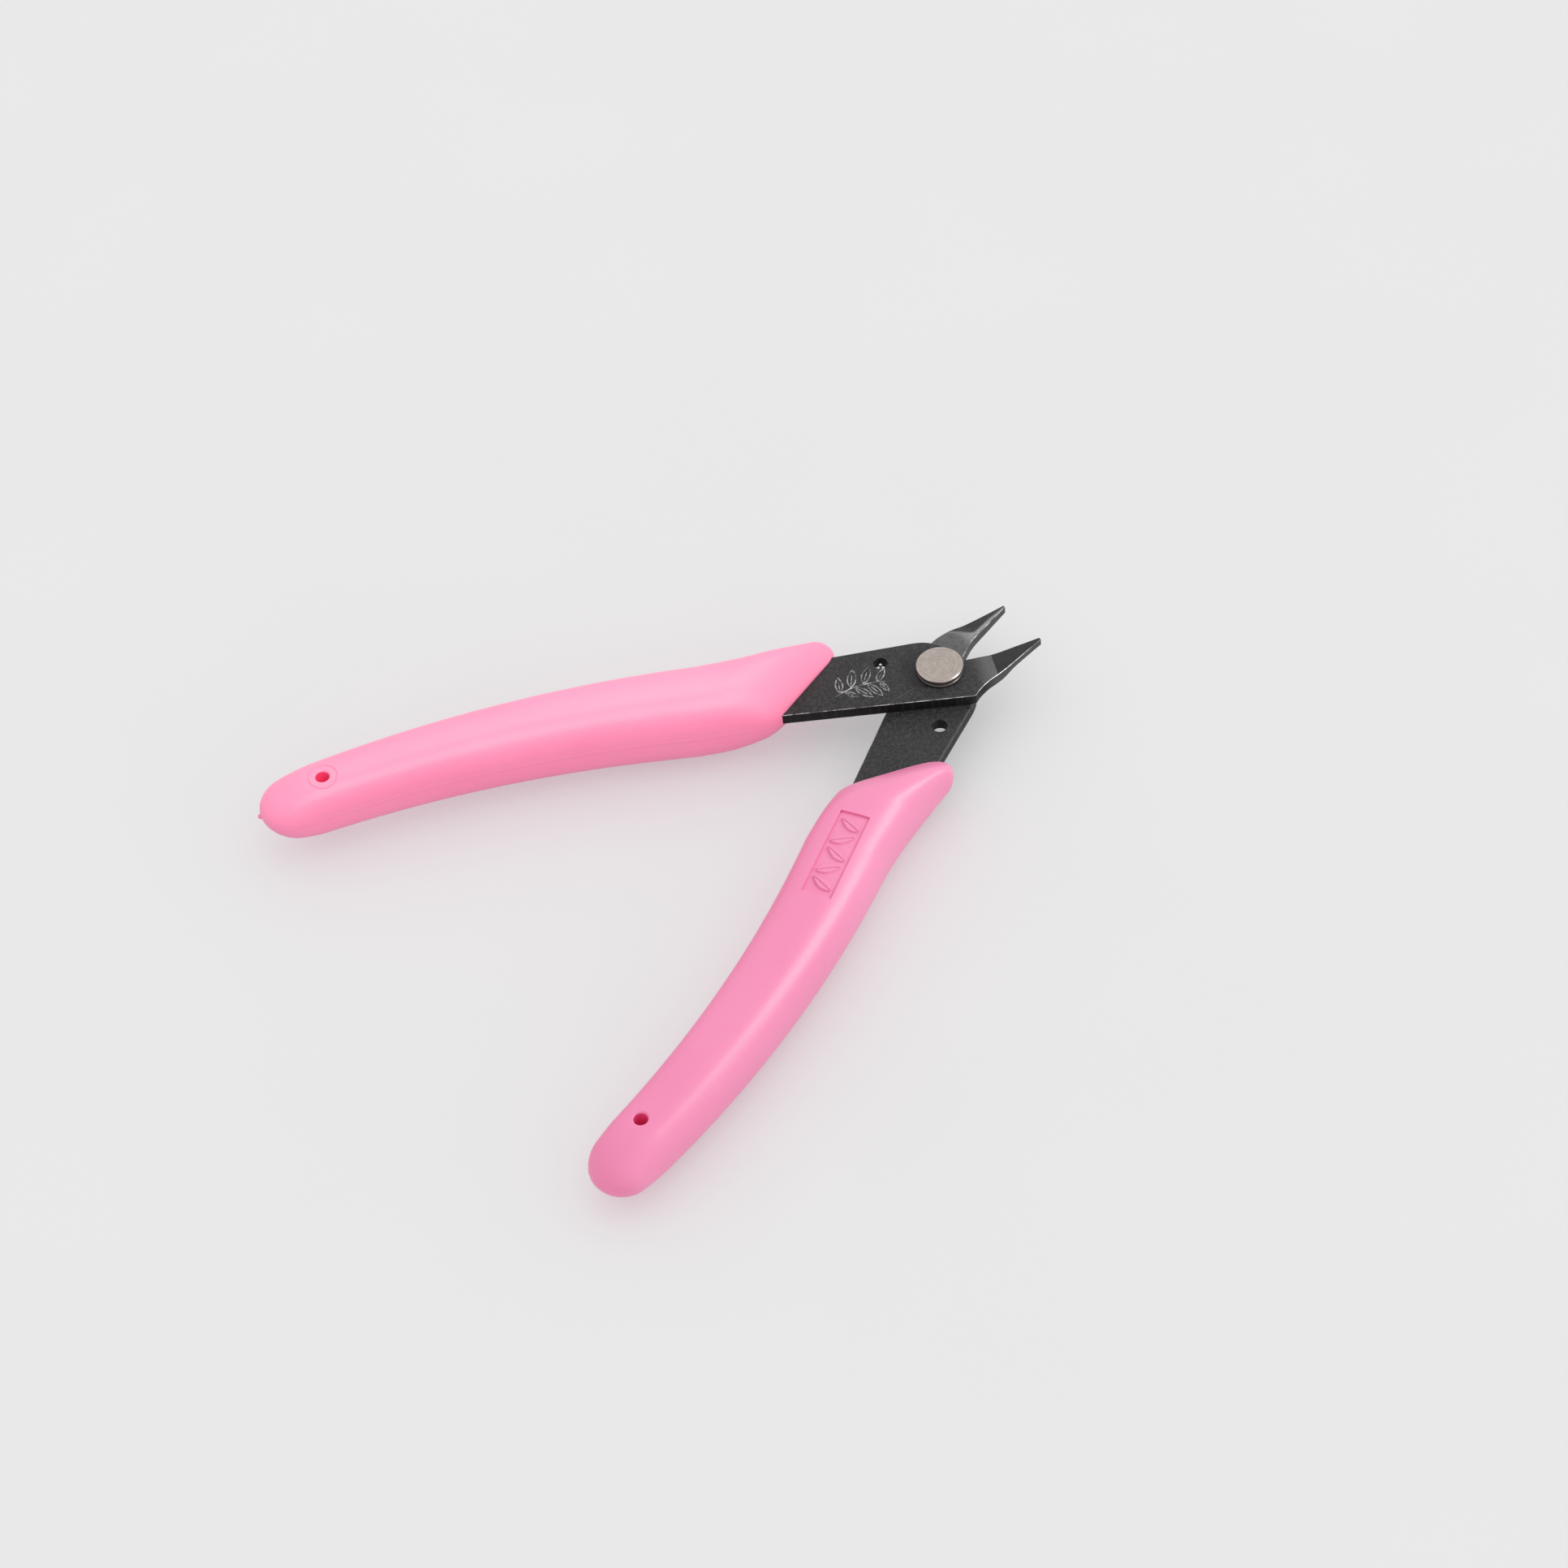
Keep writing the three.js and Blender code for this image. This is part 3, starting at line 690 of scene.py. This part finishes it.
def eased_hole(centre, radius, below, above):
    """A hole with its two rims eased."""
    profile = [
        (0, below),
        (radius + HOLE_EASE + BLADE_FACE - below, below),
        (radius, BLADE_FACE + HOLE_EASE),
        (radius, BLADE_TOP - HOLE_EASE),
        (radius + HOLE_EASE + above - BLADE_TOP, above),
        (0, above),
    ]
    return lathe(profile, steps=56, centre=centre, material=SIDE)


def blade(name, jaw, turned):
    matrix = place(turned)
    obj = mesh_object(name, plate(blade_outline(jaw), jaw), matrix, blade_looks(turned))
    below, above = BLADE_FACE - PAST, BLADE_TOP + PAST
    hole_r = WIRE_HOLE_R + (REAR_HOLE_MORE if turned else 0)
    cutters = [
        disc_cutter(BORE_R, below, above),
        eased_hole(WIRE_HOLE, hole_r, below, above),
        disc_cutter(POCKET_R, below, BLADE_FACE + POCKET_D),
        hollow_cutter(jaw),
    ]
    cut(obj, *[mesh_object("cutter", bm, matrix, []) for bm in cutters])
    smooth(obj, degrees=40)
    return obj


# ---------- grips ----------

SKIN, DEEP = range(2)  # a grip's material slots
SPINE_CENTRE, SPINE_R = Vector((-140.87, -152.5)), 202.22  # the grip bends along an arc
SPINE_FRONT, SPINE_TAIL = 58.6, 77.2  # degrees
GRIP_FRONT_A, GRIP_TAIL_A = 6.46, 4.88  # half widths
GRIP_LEVEL = 1.05
FRONT_H, TAPER, FRONT_X = 6.43, 0.0252, -35.5  # half height, and how it shrinks behind FRONT_X
LOBE_CENTRE, LOBE_R, LOBE_END = (-12.35, 15.35), 2.15, 74
MOUTH_TOP, MOUTH_BOTTOM = 2.3, -0.9
TOP_RAMP, BOTTOM_RAMP, TAIL_DOME = 8.8, 8.0, 9.5
# powers of the section's superellipse
INNER_POWER, OUTER_POWER, FRONT_POWER, TAIL_POWER, TOP_INNER_POWER = 3.6, 2.5, 3.2, 2.1, 2.7
RAMP_MIX = 0.75  # the upper ramp is part parabola, part quarter circle
STATIONS, STATION_GRID, STATION_EASE, LAST_STATION = 240, 4000, 0.75, 0.9975
QUARTER, CURVE = 28, 120  # points of a quarter of the section, and of the curve they are taken from
SEAM_W, SEAM_H = 0.12, 0.035
PIN_HOLE, PIN_R, PIN_D, PIN_EASE = (-90.5, 42.7), 1.12, 3.2, 0.25
RING_R, GROOVE_R, GROOVE_LIFT = 2.3, 0.17, 0.05  # a fine ring round the upper pin hole
PANEL_CENTRE, PANEL_TURN, PANEL_L, PANEL_W, PANEL_D = (-37.6, 21.6), -31, 16.9, 4.9, 0.40
LEAVES, LEAF_PITCH, LEAF_TURN = 5, 3.05, 62  # the leaves in the panel
LEAF_HALF_L, LEAF_HALF_W, LEAF_SUNK = 2.1, 0.80, 0.06


def spine(degrees, offset):
    return SPINE_CENTRE + (SPINE_R + offset) * polar(degrees)


def grip_side(side):
    """The long side of a grip: 1 on the outside of the bend, -1 on the inside."""
    points, steps = [], 60
    for i in range(steps + 1):
        s = i / steps
        width = GRIP_FRONT_A + (GRIP_TAIL_A - GRIP_FRONT_A) * s
        points.append(spine(SPINE_FRONT + (SPINE_TAIL - SPINE_FRONT) * s, side * width))
    return points


def grip_sides():
    """The two sides of a grip's outline, from its front edge to the end of its tail."""
    tail = spine(SPINE_TAIL, 0)
    inner_start = spine(SPINE_FRONT, -GRIP_FRONT_A)
    outer_start = spine(SPINE_FRONT, GRIP_FRONT_A)
    inner = (
        quad((-25.0, 8.85), (-27.2, 8.13), (-29.4, 9.55), 24)
        + line((-29.4, 9.55), inner_start, 8)
        + grip_side(-1)
        + arc(tail, GRIP_TAIL_A, SPINE_TAIL - 180, SPINE_TAIL - 270, 40)[1:]
        + [tail + GRIP_TAIL_A * polar(SPINE_TAIL + 90)]
    )
    lobe_end = Vector(LOBE_CENTRE) + LOBE_R * polar(LOBE_END)
    outer = (
        arc(LOBE_CENTRE, LOBE_R, -72, LOBE_END, 40)
        + cubic(lobe_end, (-17.5, 18.6), (-27.5, 22.7), outer_start, 40)
        + grip_side(1)
        + arc(tail, GRIP_TAIL_A, SPINE_TAIL, SPINE_TAIL + 90, 40)[1:]
        + [inner[-1]]
    )
    return inner, outer


def grip_half(x):
    """The grip's half height."""
    return FRONT_H - TAPER * max(0.0, FRONT_X - x)


def lerp(a, b, t):
    return a + (b - a) * t


def grip_section(width, height, front, back):
    """A cross-section in units of its half width and half height, with the ridge of the mould seam.

    front and back are 1 at the grip's ends and 0 away from them.
    """
    quarters = []
    for side in (OUTER_POWER, INNER_POWER, TOP_INNER_POWER):
        power = lerp(side, TAIL_POWER if back > 0 else FRONT_POWER, max(front, back))
        curve = []
        for i in range(CURVE + 1):
            turn = math.pi / 2 * i / CURVE
            u, v = math.cos(turn) ** (2 / power), math.sin(turn) ** (2 / power)
            curve.append(Vector((u * width, v * height)))
        start = Vector((width, SEAM_W))
        curve = [start] + [p for p in curve[1:] if p.y > SEAM_W * 1.2]
        quarters.append([(p.x / width, p.y / height) for p in resample(curve, QUARTER)])
    outer, inner, upper_inner = quarters
    ridge = 1 + SEAM_H / width
    points = [(ridge, 0.0)] + outer + [(-u, v) for u, v in upper_inner[::-1][1:]]
    points += [(-ridge, 0.0)] + [(-u, -v) for u, v in inner] + [(u, -v) for u, v in outer[::-1][1:]]
    return points


def grip_mesh():
    inner, outer = grip_sides()
    inner, outer = resample(inner, STATION_GRID + 1), resample(outer, STATION_GRID + 1)
    front_a = inner[0]
    inward = (outer[0] - inner[0]).normalized()
    inward = Vector((-inward.y, inward.x))
    tip = inner[-1]
    tail_axis = (tip - spine(SPINE_TAIL, 0)).normalized()
    bm = bmesh.new()
    rings = []
    for i in range(STATIONS + 1):
        # closer together at both ends, and not quite to the tail's last point
        t = 0.5 * (1 - math.cos(math.pi * i / STATIONS))
        t = lerp(i / STATIONS, t, STATION_EASE) * LAST_STATION
        a, b = inner[round(t * STATION_GRID)], outer[round(t * STATION_GRID)]
        centre, across = (a + b) / 2, (b - a) / 2
        from_front = (centre - front_a).dot(inward)
        front = max(0.0, 1 - from_front / TOP_RAMP)
        under = max(0.0, 1 - from_front / BOTTOM_RAMP)
        back = max(0.0, 1 - (tip - centre).dot(tail_axis) / TAIL_DOME)
        full = grip_half(centre.x) * math.sqrt(max(0.0, 1 - back ** 2))
        steep = RAMP_MIX * front ** 2 + (1 - RAMP_MIX) * (1 - math.sqrt(1 - min(1.0, front) ** 2))
        top = lerp(GRIP_LEVEL + full, MOUTH_TOP, steep)
        bottom = lerp(GRIP_LEVEL - full, MOUTH_BOTTOM, under ** 2)
        middle, half = (top + bottom) / 2, (top - bottom) / 2
        ring = []
        for u, v in grip_section(across.length, half, front, back):
            flat = centre + u * across
            ring.append(bm.verts.new((flat.x, flat.y, middle + v * half)))
        rings.append(ring)
    around = len(rings[0])
    for a, b in zip(rings, rings[1:]):
        band(bm, a, b)
    for ring in (rings[0], rings[-1]):
        middle = bm.verts.new(sum((v.co for v in ring), Vector()) / around)
        for k in range(around):
            bm.faces.new((ring[k], ring[(k + 1) % around], middle))
    bmesh.ops.recalc_face_normals(bm, faces=bm.faces)
    return bm


def pin_cutter(way):
    """A blind hole with a softened rim, up (1) or down (-1)."""
    face = grip_half(PIN_HOLE[0])
    rim = [(PIN_R + PIN_EASE * (1 - math.cos(t)), face - 0.27 + PIN_EASE * math.sin(t))
           for t in (math.radians(18 * i) for i in range(6))]
    profile = [(0, face - PIN_D - 0.25), (PIN_R * 0.8, face - PIN_D), (PIN_R, face - PIN_D + 0.3)]
    profile += rim + [(PIN_R + 0.5, face + 0.8), (0, face + 0.8)]
    bm = lathe([(r, GRIP_LEVEL + way * z) for r, z in profile], steps=64, centre=PIN_HOLE)
    for f in bm.faces:
        # the hole's deep faces take the pink with painted shade
        f.material_index = DEEP if abs(f.calc_center_median().z - GRIP_LEVEL) < face - 0.3 else SKIN
    return bm


def ring_cutter(obj):
    """A fine groove round the upper hole, following the surface."""
    tree = surface(obj)
    path = []
    for i in range(72):
        t = 2 * math.pi * i / 72
        spot = Vector((PIN_HOLE[0] + RING_R * math.cos(t), PIN_HOLE[1] + RING_R * math.sin(t), 20))
        hit = tree.ray_cast(spot, Vector((0, 0, -1)))[0]
        path.append(hit + Vector((0, 0, GROOVE_LIFT)))
    return loop_tube(path, GROOVE_R)


def gate_nub():
    """The torn stub of the moulding gate on the end of the tail."""
    tail = spine(SPINE_TAIL, 0)
    tip = tail + GRIP_TAIL_A * (spine(SPINE_TAIL + 1, 0) - tail).normalized()
    away = (tip - tail).normalized()
    side = Vector((-away.y, away.x))
    bm = bmesh.new()
    rows, sides = [], 14
    # reach, half width and half height of each ragged ring
    shape = (
        (-0.5, 0.62, 0.50), (-0.1, 0.55, 0.46), (0.12, 0.40, 0.42), (0.30, 0.33, 0.22), (0.44, 0.16, 0.18),
    )
    for n, (run, wide, tall) in enumerate(shape):
        row = []
        for k in range(sides):
            t = 2 * math.pi * k / sides
            rag = 1 + 0.20 * math.sin(5.0 * t + 2.3 * n) + 0.13 * math.sin(3 * t + 1.7 * n * n)
            jag = 0.10 * math.sin(4 * t + 1.1 * n) if n > 1 else 0
            spot = tip + away * (run - 0.12 + jag) + side * (wide * rag * math.cos(t) - 0.9)
            row.append(bm.verts.new((spot.x, spot.y, GRIP_LEVEL - 0.6 + tall * rag * math.sin(t))))
        rows.append(row)
    for a, b in zip(rows, rows[1:]):
        band(bm, a, b)
    bm.faces.new(rows[0][::-1])
    bm.faces.new(rows[-1])
    bmesh.ops.recalc_face_normals(bm, faces=bm.faces)
    return bm


def leaf_cover(x, y):
    """How much of a standing leaf covers a point of the panel, 0 to 1."""
    cover = 0.0
    for i in range(LEAVES):
        turn = math.radians(LEAF_TURN if i % 2 else -LEAF_TURN)
        dx = x - (i - LEAVES // 2) * LEAF_PITCH
        u, v = dx * math.cos(turn) + y * math.sin(turn), y * math.cos(turn) - dx * math.sin(turn)
        if abs(u) < LEAF_HALF_L:
            wide = LEAF_HALF_W * (1 - (u / LEAF_HALF_L) ** 2) * (1 - 0.18 * u)
            edge = max(0.0, min(1.0, (wide - abs(v)) / 0.12 + 0.5))
            vein = 0.35 + 0.65 * min(1.0, abs(v) / 0.10)
            cover = max(cover, edge * vein)
    return cover


def panel_cutter(obj):
    """The label panel: a shallow recess that follows the face, with five plain leaves left standing."""
    tree = surface(obj)
    spin = Matrix.Rotation(math.radians(PANEL_TURN), 2)
    nx, ny = 168, 50
    bm = bmesh.new()
    floor, roof = [], []
    for i in range(nx + 1):
        low, high = [], []
        for j in range(ny + 1):
            x, y = PANEL_L * (i / nx - 0.5), PANEL_W * (j / ny - 0.5)
            spot = Vector(PANEL_CENTRE) + spin @ Vector((x, y))
            face = tree.ray_cast(Vector((spot.x, spot.y, -20)), Vector((0, 0, 1)))[0].z
            cover = leaf_cover(x, y)
            low.append(bm.verts.new((spot.x, spot.y, face + PANEL_D - (PANEL_D - LEAF_SUNK) * cover)))
            high.append(bm.verts.new((spot.x, spot.y, face - PAST)))
        floor.append(low)
        roof.append(high)
    for i in range(nx):
        for j in range(ny):
            for g in (floor, roof):
                bm.faces.new((g[i][j], g[i + 1][j], g[i + 1][j + 1], g[i][j + 1]))
    for i in range(nx):
        for j in (0, ny):
            bm.faces.new((floor[i][j], floor[i + 1][j], roof[i + 1][j], roof[i][j]))
    for j in range(ny):
        for i in (0, nx):
            bm.faces.new((floor[i][j], floor[i][j + 1], roof[i][j + 1], roof[i][j]))
    bmesh.ops.recalc_face_normals(bm, faces=bm.faces)
    return bm


def grip(name, turned):
    """A grip is cut in half-tool millimetres and placed at the end."""
    here = Matrix.Identity(4)
    obj = mesh_object(name, grip_mesh(), here, [LOOKS["grip"], LOOKS["hole"]])
    cutters = [pin_cutter(1), pin_cutter(-1), ring_cutter(obj), panel_cutter(obj)]
    cut(obj, *[mesh_object("cutter", bm, here, []) for bm in cutters])
    if not turned:
        cut(obj, mesh_object("cutter", gate_nub(), here, []), operation="UNION")
    obj.data.transform(place(turned))
    smooth(obj, degrees=38)
    return obj


# ---------- rivet, washers, spring, mark ----------

HEAD_R, HEAD_H, HEAD_ROUND = 3.85, 1.2, 0.36
SHANK_R, TAIL_R = 1.9, 3.0
HEAD_UNDER = BLADE_TOP + 0.6
DISH_R, DISH_STEPS = 3.44, 87  # the turned face inside the head's round
WASHER_R, WASHER_T, WASHER_EASE, WASHER_GAP = 3.7, 0.5, 0.07, 0.05
WIRE_R = 0.23
COIL_R, COIL_Z = 2.55, 0.33
ANCHOR = (-4.1, -3.0)  # where the spring's lower hook goes down
MARK_R, MARK_SUNK = 0.14, 0.03
LEAF_GAP = 0.15  # between the stem and a leaf of the mark


def rivet():
    """Head, shank and domed tail in one; the head's face is slightly dished, with two fine turned grooves."""
    top = HEAD_UNDER + HEAD_H
    r0, z0 = HEAD_R - HEAD_ROUND, top - HEAD_ROUND
    rim = []
    for i in range(13):
        t = math.radians(-30 + 120 * i / 12)
        rim.append((r0 + HEAD_ROUND * math.cos(t), z0 + HEAD_ROUND * math.sin(t)))
    face = []
    for i in range(DISH_STEPS + 1):
        r = DISH_R * (1 - i / DISH_STEPS)
        z = top - 0.03 - 0.012 * math.cos(r * 0.9)
        z += 0.03 * max(0.0, (r - 3.14) / 0.3)
        z -= 0.012 * math.exp(-((r - 1.95) / 0.14) ** 2) + 0.010 * math.exp(-((r - 0.95) / 0.12) ** 2)
        z -= 0.016 * math.exp(-(r / 0.3) ** 2)
        face.append((r, z))
    tail = [(r, -HEAD_UNDER - z) for r, z in ((0, 0.8), (1.5, 0.79), (2.2, 0.7), (2.7, 0.5), (2.92, 0.25))]
    shank = [
        (TAIL_R, -HEAD_UNDER), (SHANK_R, -HEAD_UNDER), (SHANK_R, HEAD_UNDER),
        (3.6, HEAD_UNDER), (3.68, HEAD_UNDER + 0.1),
    ]
    profile = tail + shank + rim + face
    obj = mesh_object("rivet", lathe(profile, steps=128), place(), [LOOKS["nickel"]])
    smooth(obj, degrees=40)
    return obj


def washer(name, level):
    c, high = WASHER_EASE, level + WASHER_T
    profile = [
        (BORE_R, level + c), (BORE_R + c, level), (WASHER_R - c, level), (WASHER_R, level + c),
        (WASHER_R, high - c), (WASHER_R - c, high), (BORE_R + c, high), (BORE_R, high - c),
    ]
    obj = mesh_object(name, lathe(profile, steps=96, closed=True), place(), [LOOKS["dark_steel"]])
    smooth(obj, degrees=50)
    return obj


def spring_path():
    """From the hook in the front blade's hole, along its leg, round the coil, to the lower hook."""
    hole, anchor = Vector(WIRE_HOLE), Vector(ANCHOR)
    up, low = math.atan2(hole.y, hole.x), math.atan2(anchor.y, anchor.x)

    def at(r, turn, z):
        return Vector((r * math.cos(turn), r * math.sin(turn), z))

    points = [at(hole.length, up, z) for z in (1.75, 1.5, 1.2, 0.95)]
    for t in (0.5, 0.9, 1.3):
        points.append(at(hole.length - 0.35 * (1 - math.cos(t)), up, 0.95 - 0.62 * math.sin(t)))
    points += [at(r, up, COIL_Z) for r in (9.2, 8.6, 7.4, 6.2, 5.0, 4.0, 3.3)]
    start = up + 0.5
    sweep = low - 0.5 + 4 * math.pi - start
    points += [at(COIL_R, start + sweep * i / 64, COIL_Z * (1 - i / 32)) for i in range(65)]
    points += [at(r, low, -COIL_Z) for r in (3.4, 4.1, 4.7)]
    points += [at(anchor.length, low, z) for z in (-0.75, -1.1, -1.4)]
    return points


def smoothed(points):
    """Chaikin's corner cutting: a finer, rounder path."""
    finer = [points[0]]
    for p, q in zip(points, points[1:]):
        finer += [p.lerp(q, 0.25), p.lerp(q, 0.75)]
    return finer + [points[-1]]


def spring():
    obj = mesh_object("spring", tube(smoothed(spring_path()), WIRE_R, 14), place(), [LOOKS["wire"]])
    smooth(obj, degrees=60)
    return obj


def leaf(length, width):
    """A pointed oval about the origin, along X."""
    half = length / 2
    return (quad((-half, 0), (-half * 0.1, width * 1.05), (half, 0))
            + quad((half, 0), (-half * 0.1, -width * 1.05), (-half, 0)))


def sprig():
    """A plain leaf sprig on the front blade: fine raised lines."""
    z = BLADE_TOP - MARK_SUNK
    stem_end = (-8.1, 4.1)
    stem = quad((-16.1, 6.5), (-12.4, 6.9), stem_end, 24) + [Vector(stem_end)]
    lines = [stem]
    # the point of the stem, the side and the length of each leaf
    leaves = (
        (3, 1, 3.3), (5, -1, 2.5), (9, 1, 3.9), (11, -1, 3.5),
        (15, 1, 3.8), (17, -1, 3.4), (21, 1, 3.0), (22, -1, 2.4),
    )
    for s, side, length in leaves:
        root = stem[s]
        ahead = (stem[s + 1] - stem[s - 1]).normalized()
        turn = math.atan2(ahead.y, ahead.x) + side * math.radians(60)
        spin = Matrix.Rotation(turn, 2)
        centre = root + spin @ Vector((length / 2 + LEAF_GAP, 0))
        outline = [centre + spin @ p for p in leaf(length, length * 0.33)]
        lines.append(outline + outline[:1])
        lines.append([root + spin @ Vector((LEAF_GAP + length * f, 0)) for f in (0, 0.25, 0.5, 0.7)])
    bm = bmesh.new()
    for points in lines:
        part = tube([Vector((p.x, p.y, z)) for p in points], MARK_R, 8, taper=0.4)
        mesh = bpy.data.meshes.new("line")
        part.to_mesh(mesh)
        part.free()
        bm.from_mesh(mesh)
        bpy.data.meshes.remove(mesh)
    obj = mesh_object("blade_mark", bm, place(), [LOOKS["mark"]])
    smooth(obj, degrees=60)
    return obj


# ---------- the pieces ----------

LOOKS = {
    "grip": grip_look(),
    "hole": shaded_hole_look(),
    "side": shear_look(),
    "worn": worn_look(),
    "hollow": ground_look("hollow_ground", 0.009, 0.018, 0.36, 0.35, sheen_and_rub_rim=True),
    "facet": ground_look("outer_bevel", 0.009, 0.017, 0.46, 0.3),
    "nickel": nickel_look(),
    "dark_steel": steel_look("dark_washer", (0.16, 0.15, 0.145), 0.32),
    "wire": steel_look("drawn_wire", (0.72, 0.71, 0.69), 0.22),
    "mark": highlit_mark_look(),
}

pieces = [
    (blade("front_plate", FRONT_JAW, False), "front_half", "front_blade", "blade_steel"),
    (blade("rear_plate", REAR_JAW, True), "rear_half", "rear_blade", "blade_steel"),
    (grip("front_handle", False), "front_half", "front_grip", "grip_vinyl"),
    (grip("rear_handle", True), "rear_half", "rear_grip", "grip_vinyl"),
    (rivet(), "rear_half", "pivot_rivet", "rivet_steel"),
    (washer("head_washer", BLADE_TOP + WASHER_GAP), "rear_half", "front_washer", "washer_steel"),
    (washer("tail_washer", -BLADE_TOP - WASHER_GAP - WASHER_T), "rear_half", "rear_washer", "washer_steel"),
    (spring(), "front_half", "return_spring", "spring_wire"),
]
for piece, body, node, slot in pieces:
    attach(piece, body)
    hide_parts(node)
mark = sprig()
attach(mark, "front_half")

# ---------- floor, light and camera ----------

floor_look = Look("pale_floor", Roughness=0.9, Specular_IOR_Level=0.1, Emission_Color=(1.0, 1.0, 1.0, 1),
                  Emission_Strength=0.32)
paper = floor_look.noise(0.02, detail=2)
shade = floor_look.ramp(paper, 0.3, 0.7)
floor_look.set(Base_Color=floor_look.mix(shade, (0.500, 0.500, 0.503), (0.507, 0.507, 0.510)))
FLOOR_HALF = 3  # metres
sheet = bmesh.new()
corners = [(x * FLOOR_HALF, y * FLOOR_HALF, 0) for x, y in ((-1, -1), (1, -1), (1, 1), (-1, 1))]
sheet.faces.new([sheet.verts.new(corner) for corner in corners])
floor = mesh_object("floor", sheet, Matrix.Identity(4), [floor_look.material])

world = bpy.data.worlds.new("studio")
bpy.context.scene.world = world
world.use_nodes = True
background = world.node_tree.nodes["Background"]
background.inputs["Color"].default_value = (1.0, 1.0, 1.0, 1)
background.inputs["Strength"].default_value = 0.98


def lamp(name, target, away, watts, lit, **values):
    """An area lamp that lights some pieces only; the floor keeps the even light of the surround."""
    spot = target + away
    data = bpy.data.lights.new(name, "AREA")
    data.energy = watts
    for key, value in values.items():
        setattr(data, key, value)
    obj = bpy.data.objects.new(name, data)
    obj.location = spot
    obj.rotation_euler = (target - spot).to_track_quat("-Z", "Y").to_euler()
    bpy.context.scene.collection.objects.link(obj)
    receivers = bpy.data.collections.new(name + "_lit")
    for piece in lit:
        receivers.objects.link(piece)
    obj.light_linking.receiver_collection = receivers


metal = [piece for piece, _, _, slot in pieces if slot != "grip_vinyl"] + [mark]
handles = {body: [piece] for piece, body, _, slot in pieces if slot == "grip_vinyl"}
over_front = Vector((-0.012, 0.032, 0.008))
over_rear = Vector((-0.015, -0.030, 0.006))
lamp("front_sheen", over_front, 0.6 * Vector((0.42, 0.30, 0.857)), 1.3, handles["front_half"],
     shape="RECTANGLE", size=0.52, size_y=0.26, color=(1.0, 0.96, 0.55))
lamp("front_box", over_front, 0.6 * Vector((0.02, -0.44, 0.898)), 2.1, handles["front_half"],
     shape="DISK", size=0.50, color=(1.0, 0.96, 0.68))
lamp("side_box", over_rear, 0.7 * Vector((0.745, -0.35, 0.567)), 2.6, handles["rear_half"],
     shape="RECTANGLE", size=0.10, size_y=0.5, color=(0.55, 1.0, 0.8))
lamp("edge_light", PIVOT, 0.5 * Vector((0.55, -0.66, 0.51)), 2.2, metal, shape="DISK", size=0.14)

# the camera's axes, and the pivot at the level of the upper plate's face along them, in mm
RIGHT = Vector((0.7947481364, -0.6039976641, -0.0596843485))
DOWN = Vector((-0.4881118875, -0.5776085956, -0.6543050478))
AHEAD = Vector((0.3607245277, 0.5491403574, -0.7538717948))
OFFSET = Vector((25.0334, -18.0763, 730.5345))
SENSOR_MM = 36.0
FRAME_WIDTH, FOCAL = 1932, 5604.71  # both in the same unit

camera_data = bpy.data.cameras.new("camera")
camera_data.sensor_width = SENSOR_MM
camera_data.lens = SENSOR_MM * FOCAL / FRAME_WIDTH
camera = bpy.data.objects.new("camera", camera_data)
spot = -(RIGHT * OFFSET.x + DOWN * OFFSET.y + AHEAD * OFFSET.z) + Vector((0, 0, BLADE_TOP))
axes = Matrix((RIGHT, -DOWN, -AHEAD)).transposed()
camera.matrix_world = Matrix.Translation(PIVOT + spot * MM) @ axes.to_4x4()
bpy.context.scene.collection.objects.link(camera)
bpy.context.scene.camera = camera
bpy.context.scene.view_settings.view_transform = "Standard"
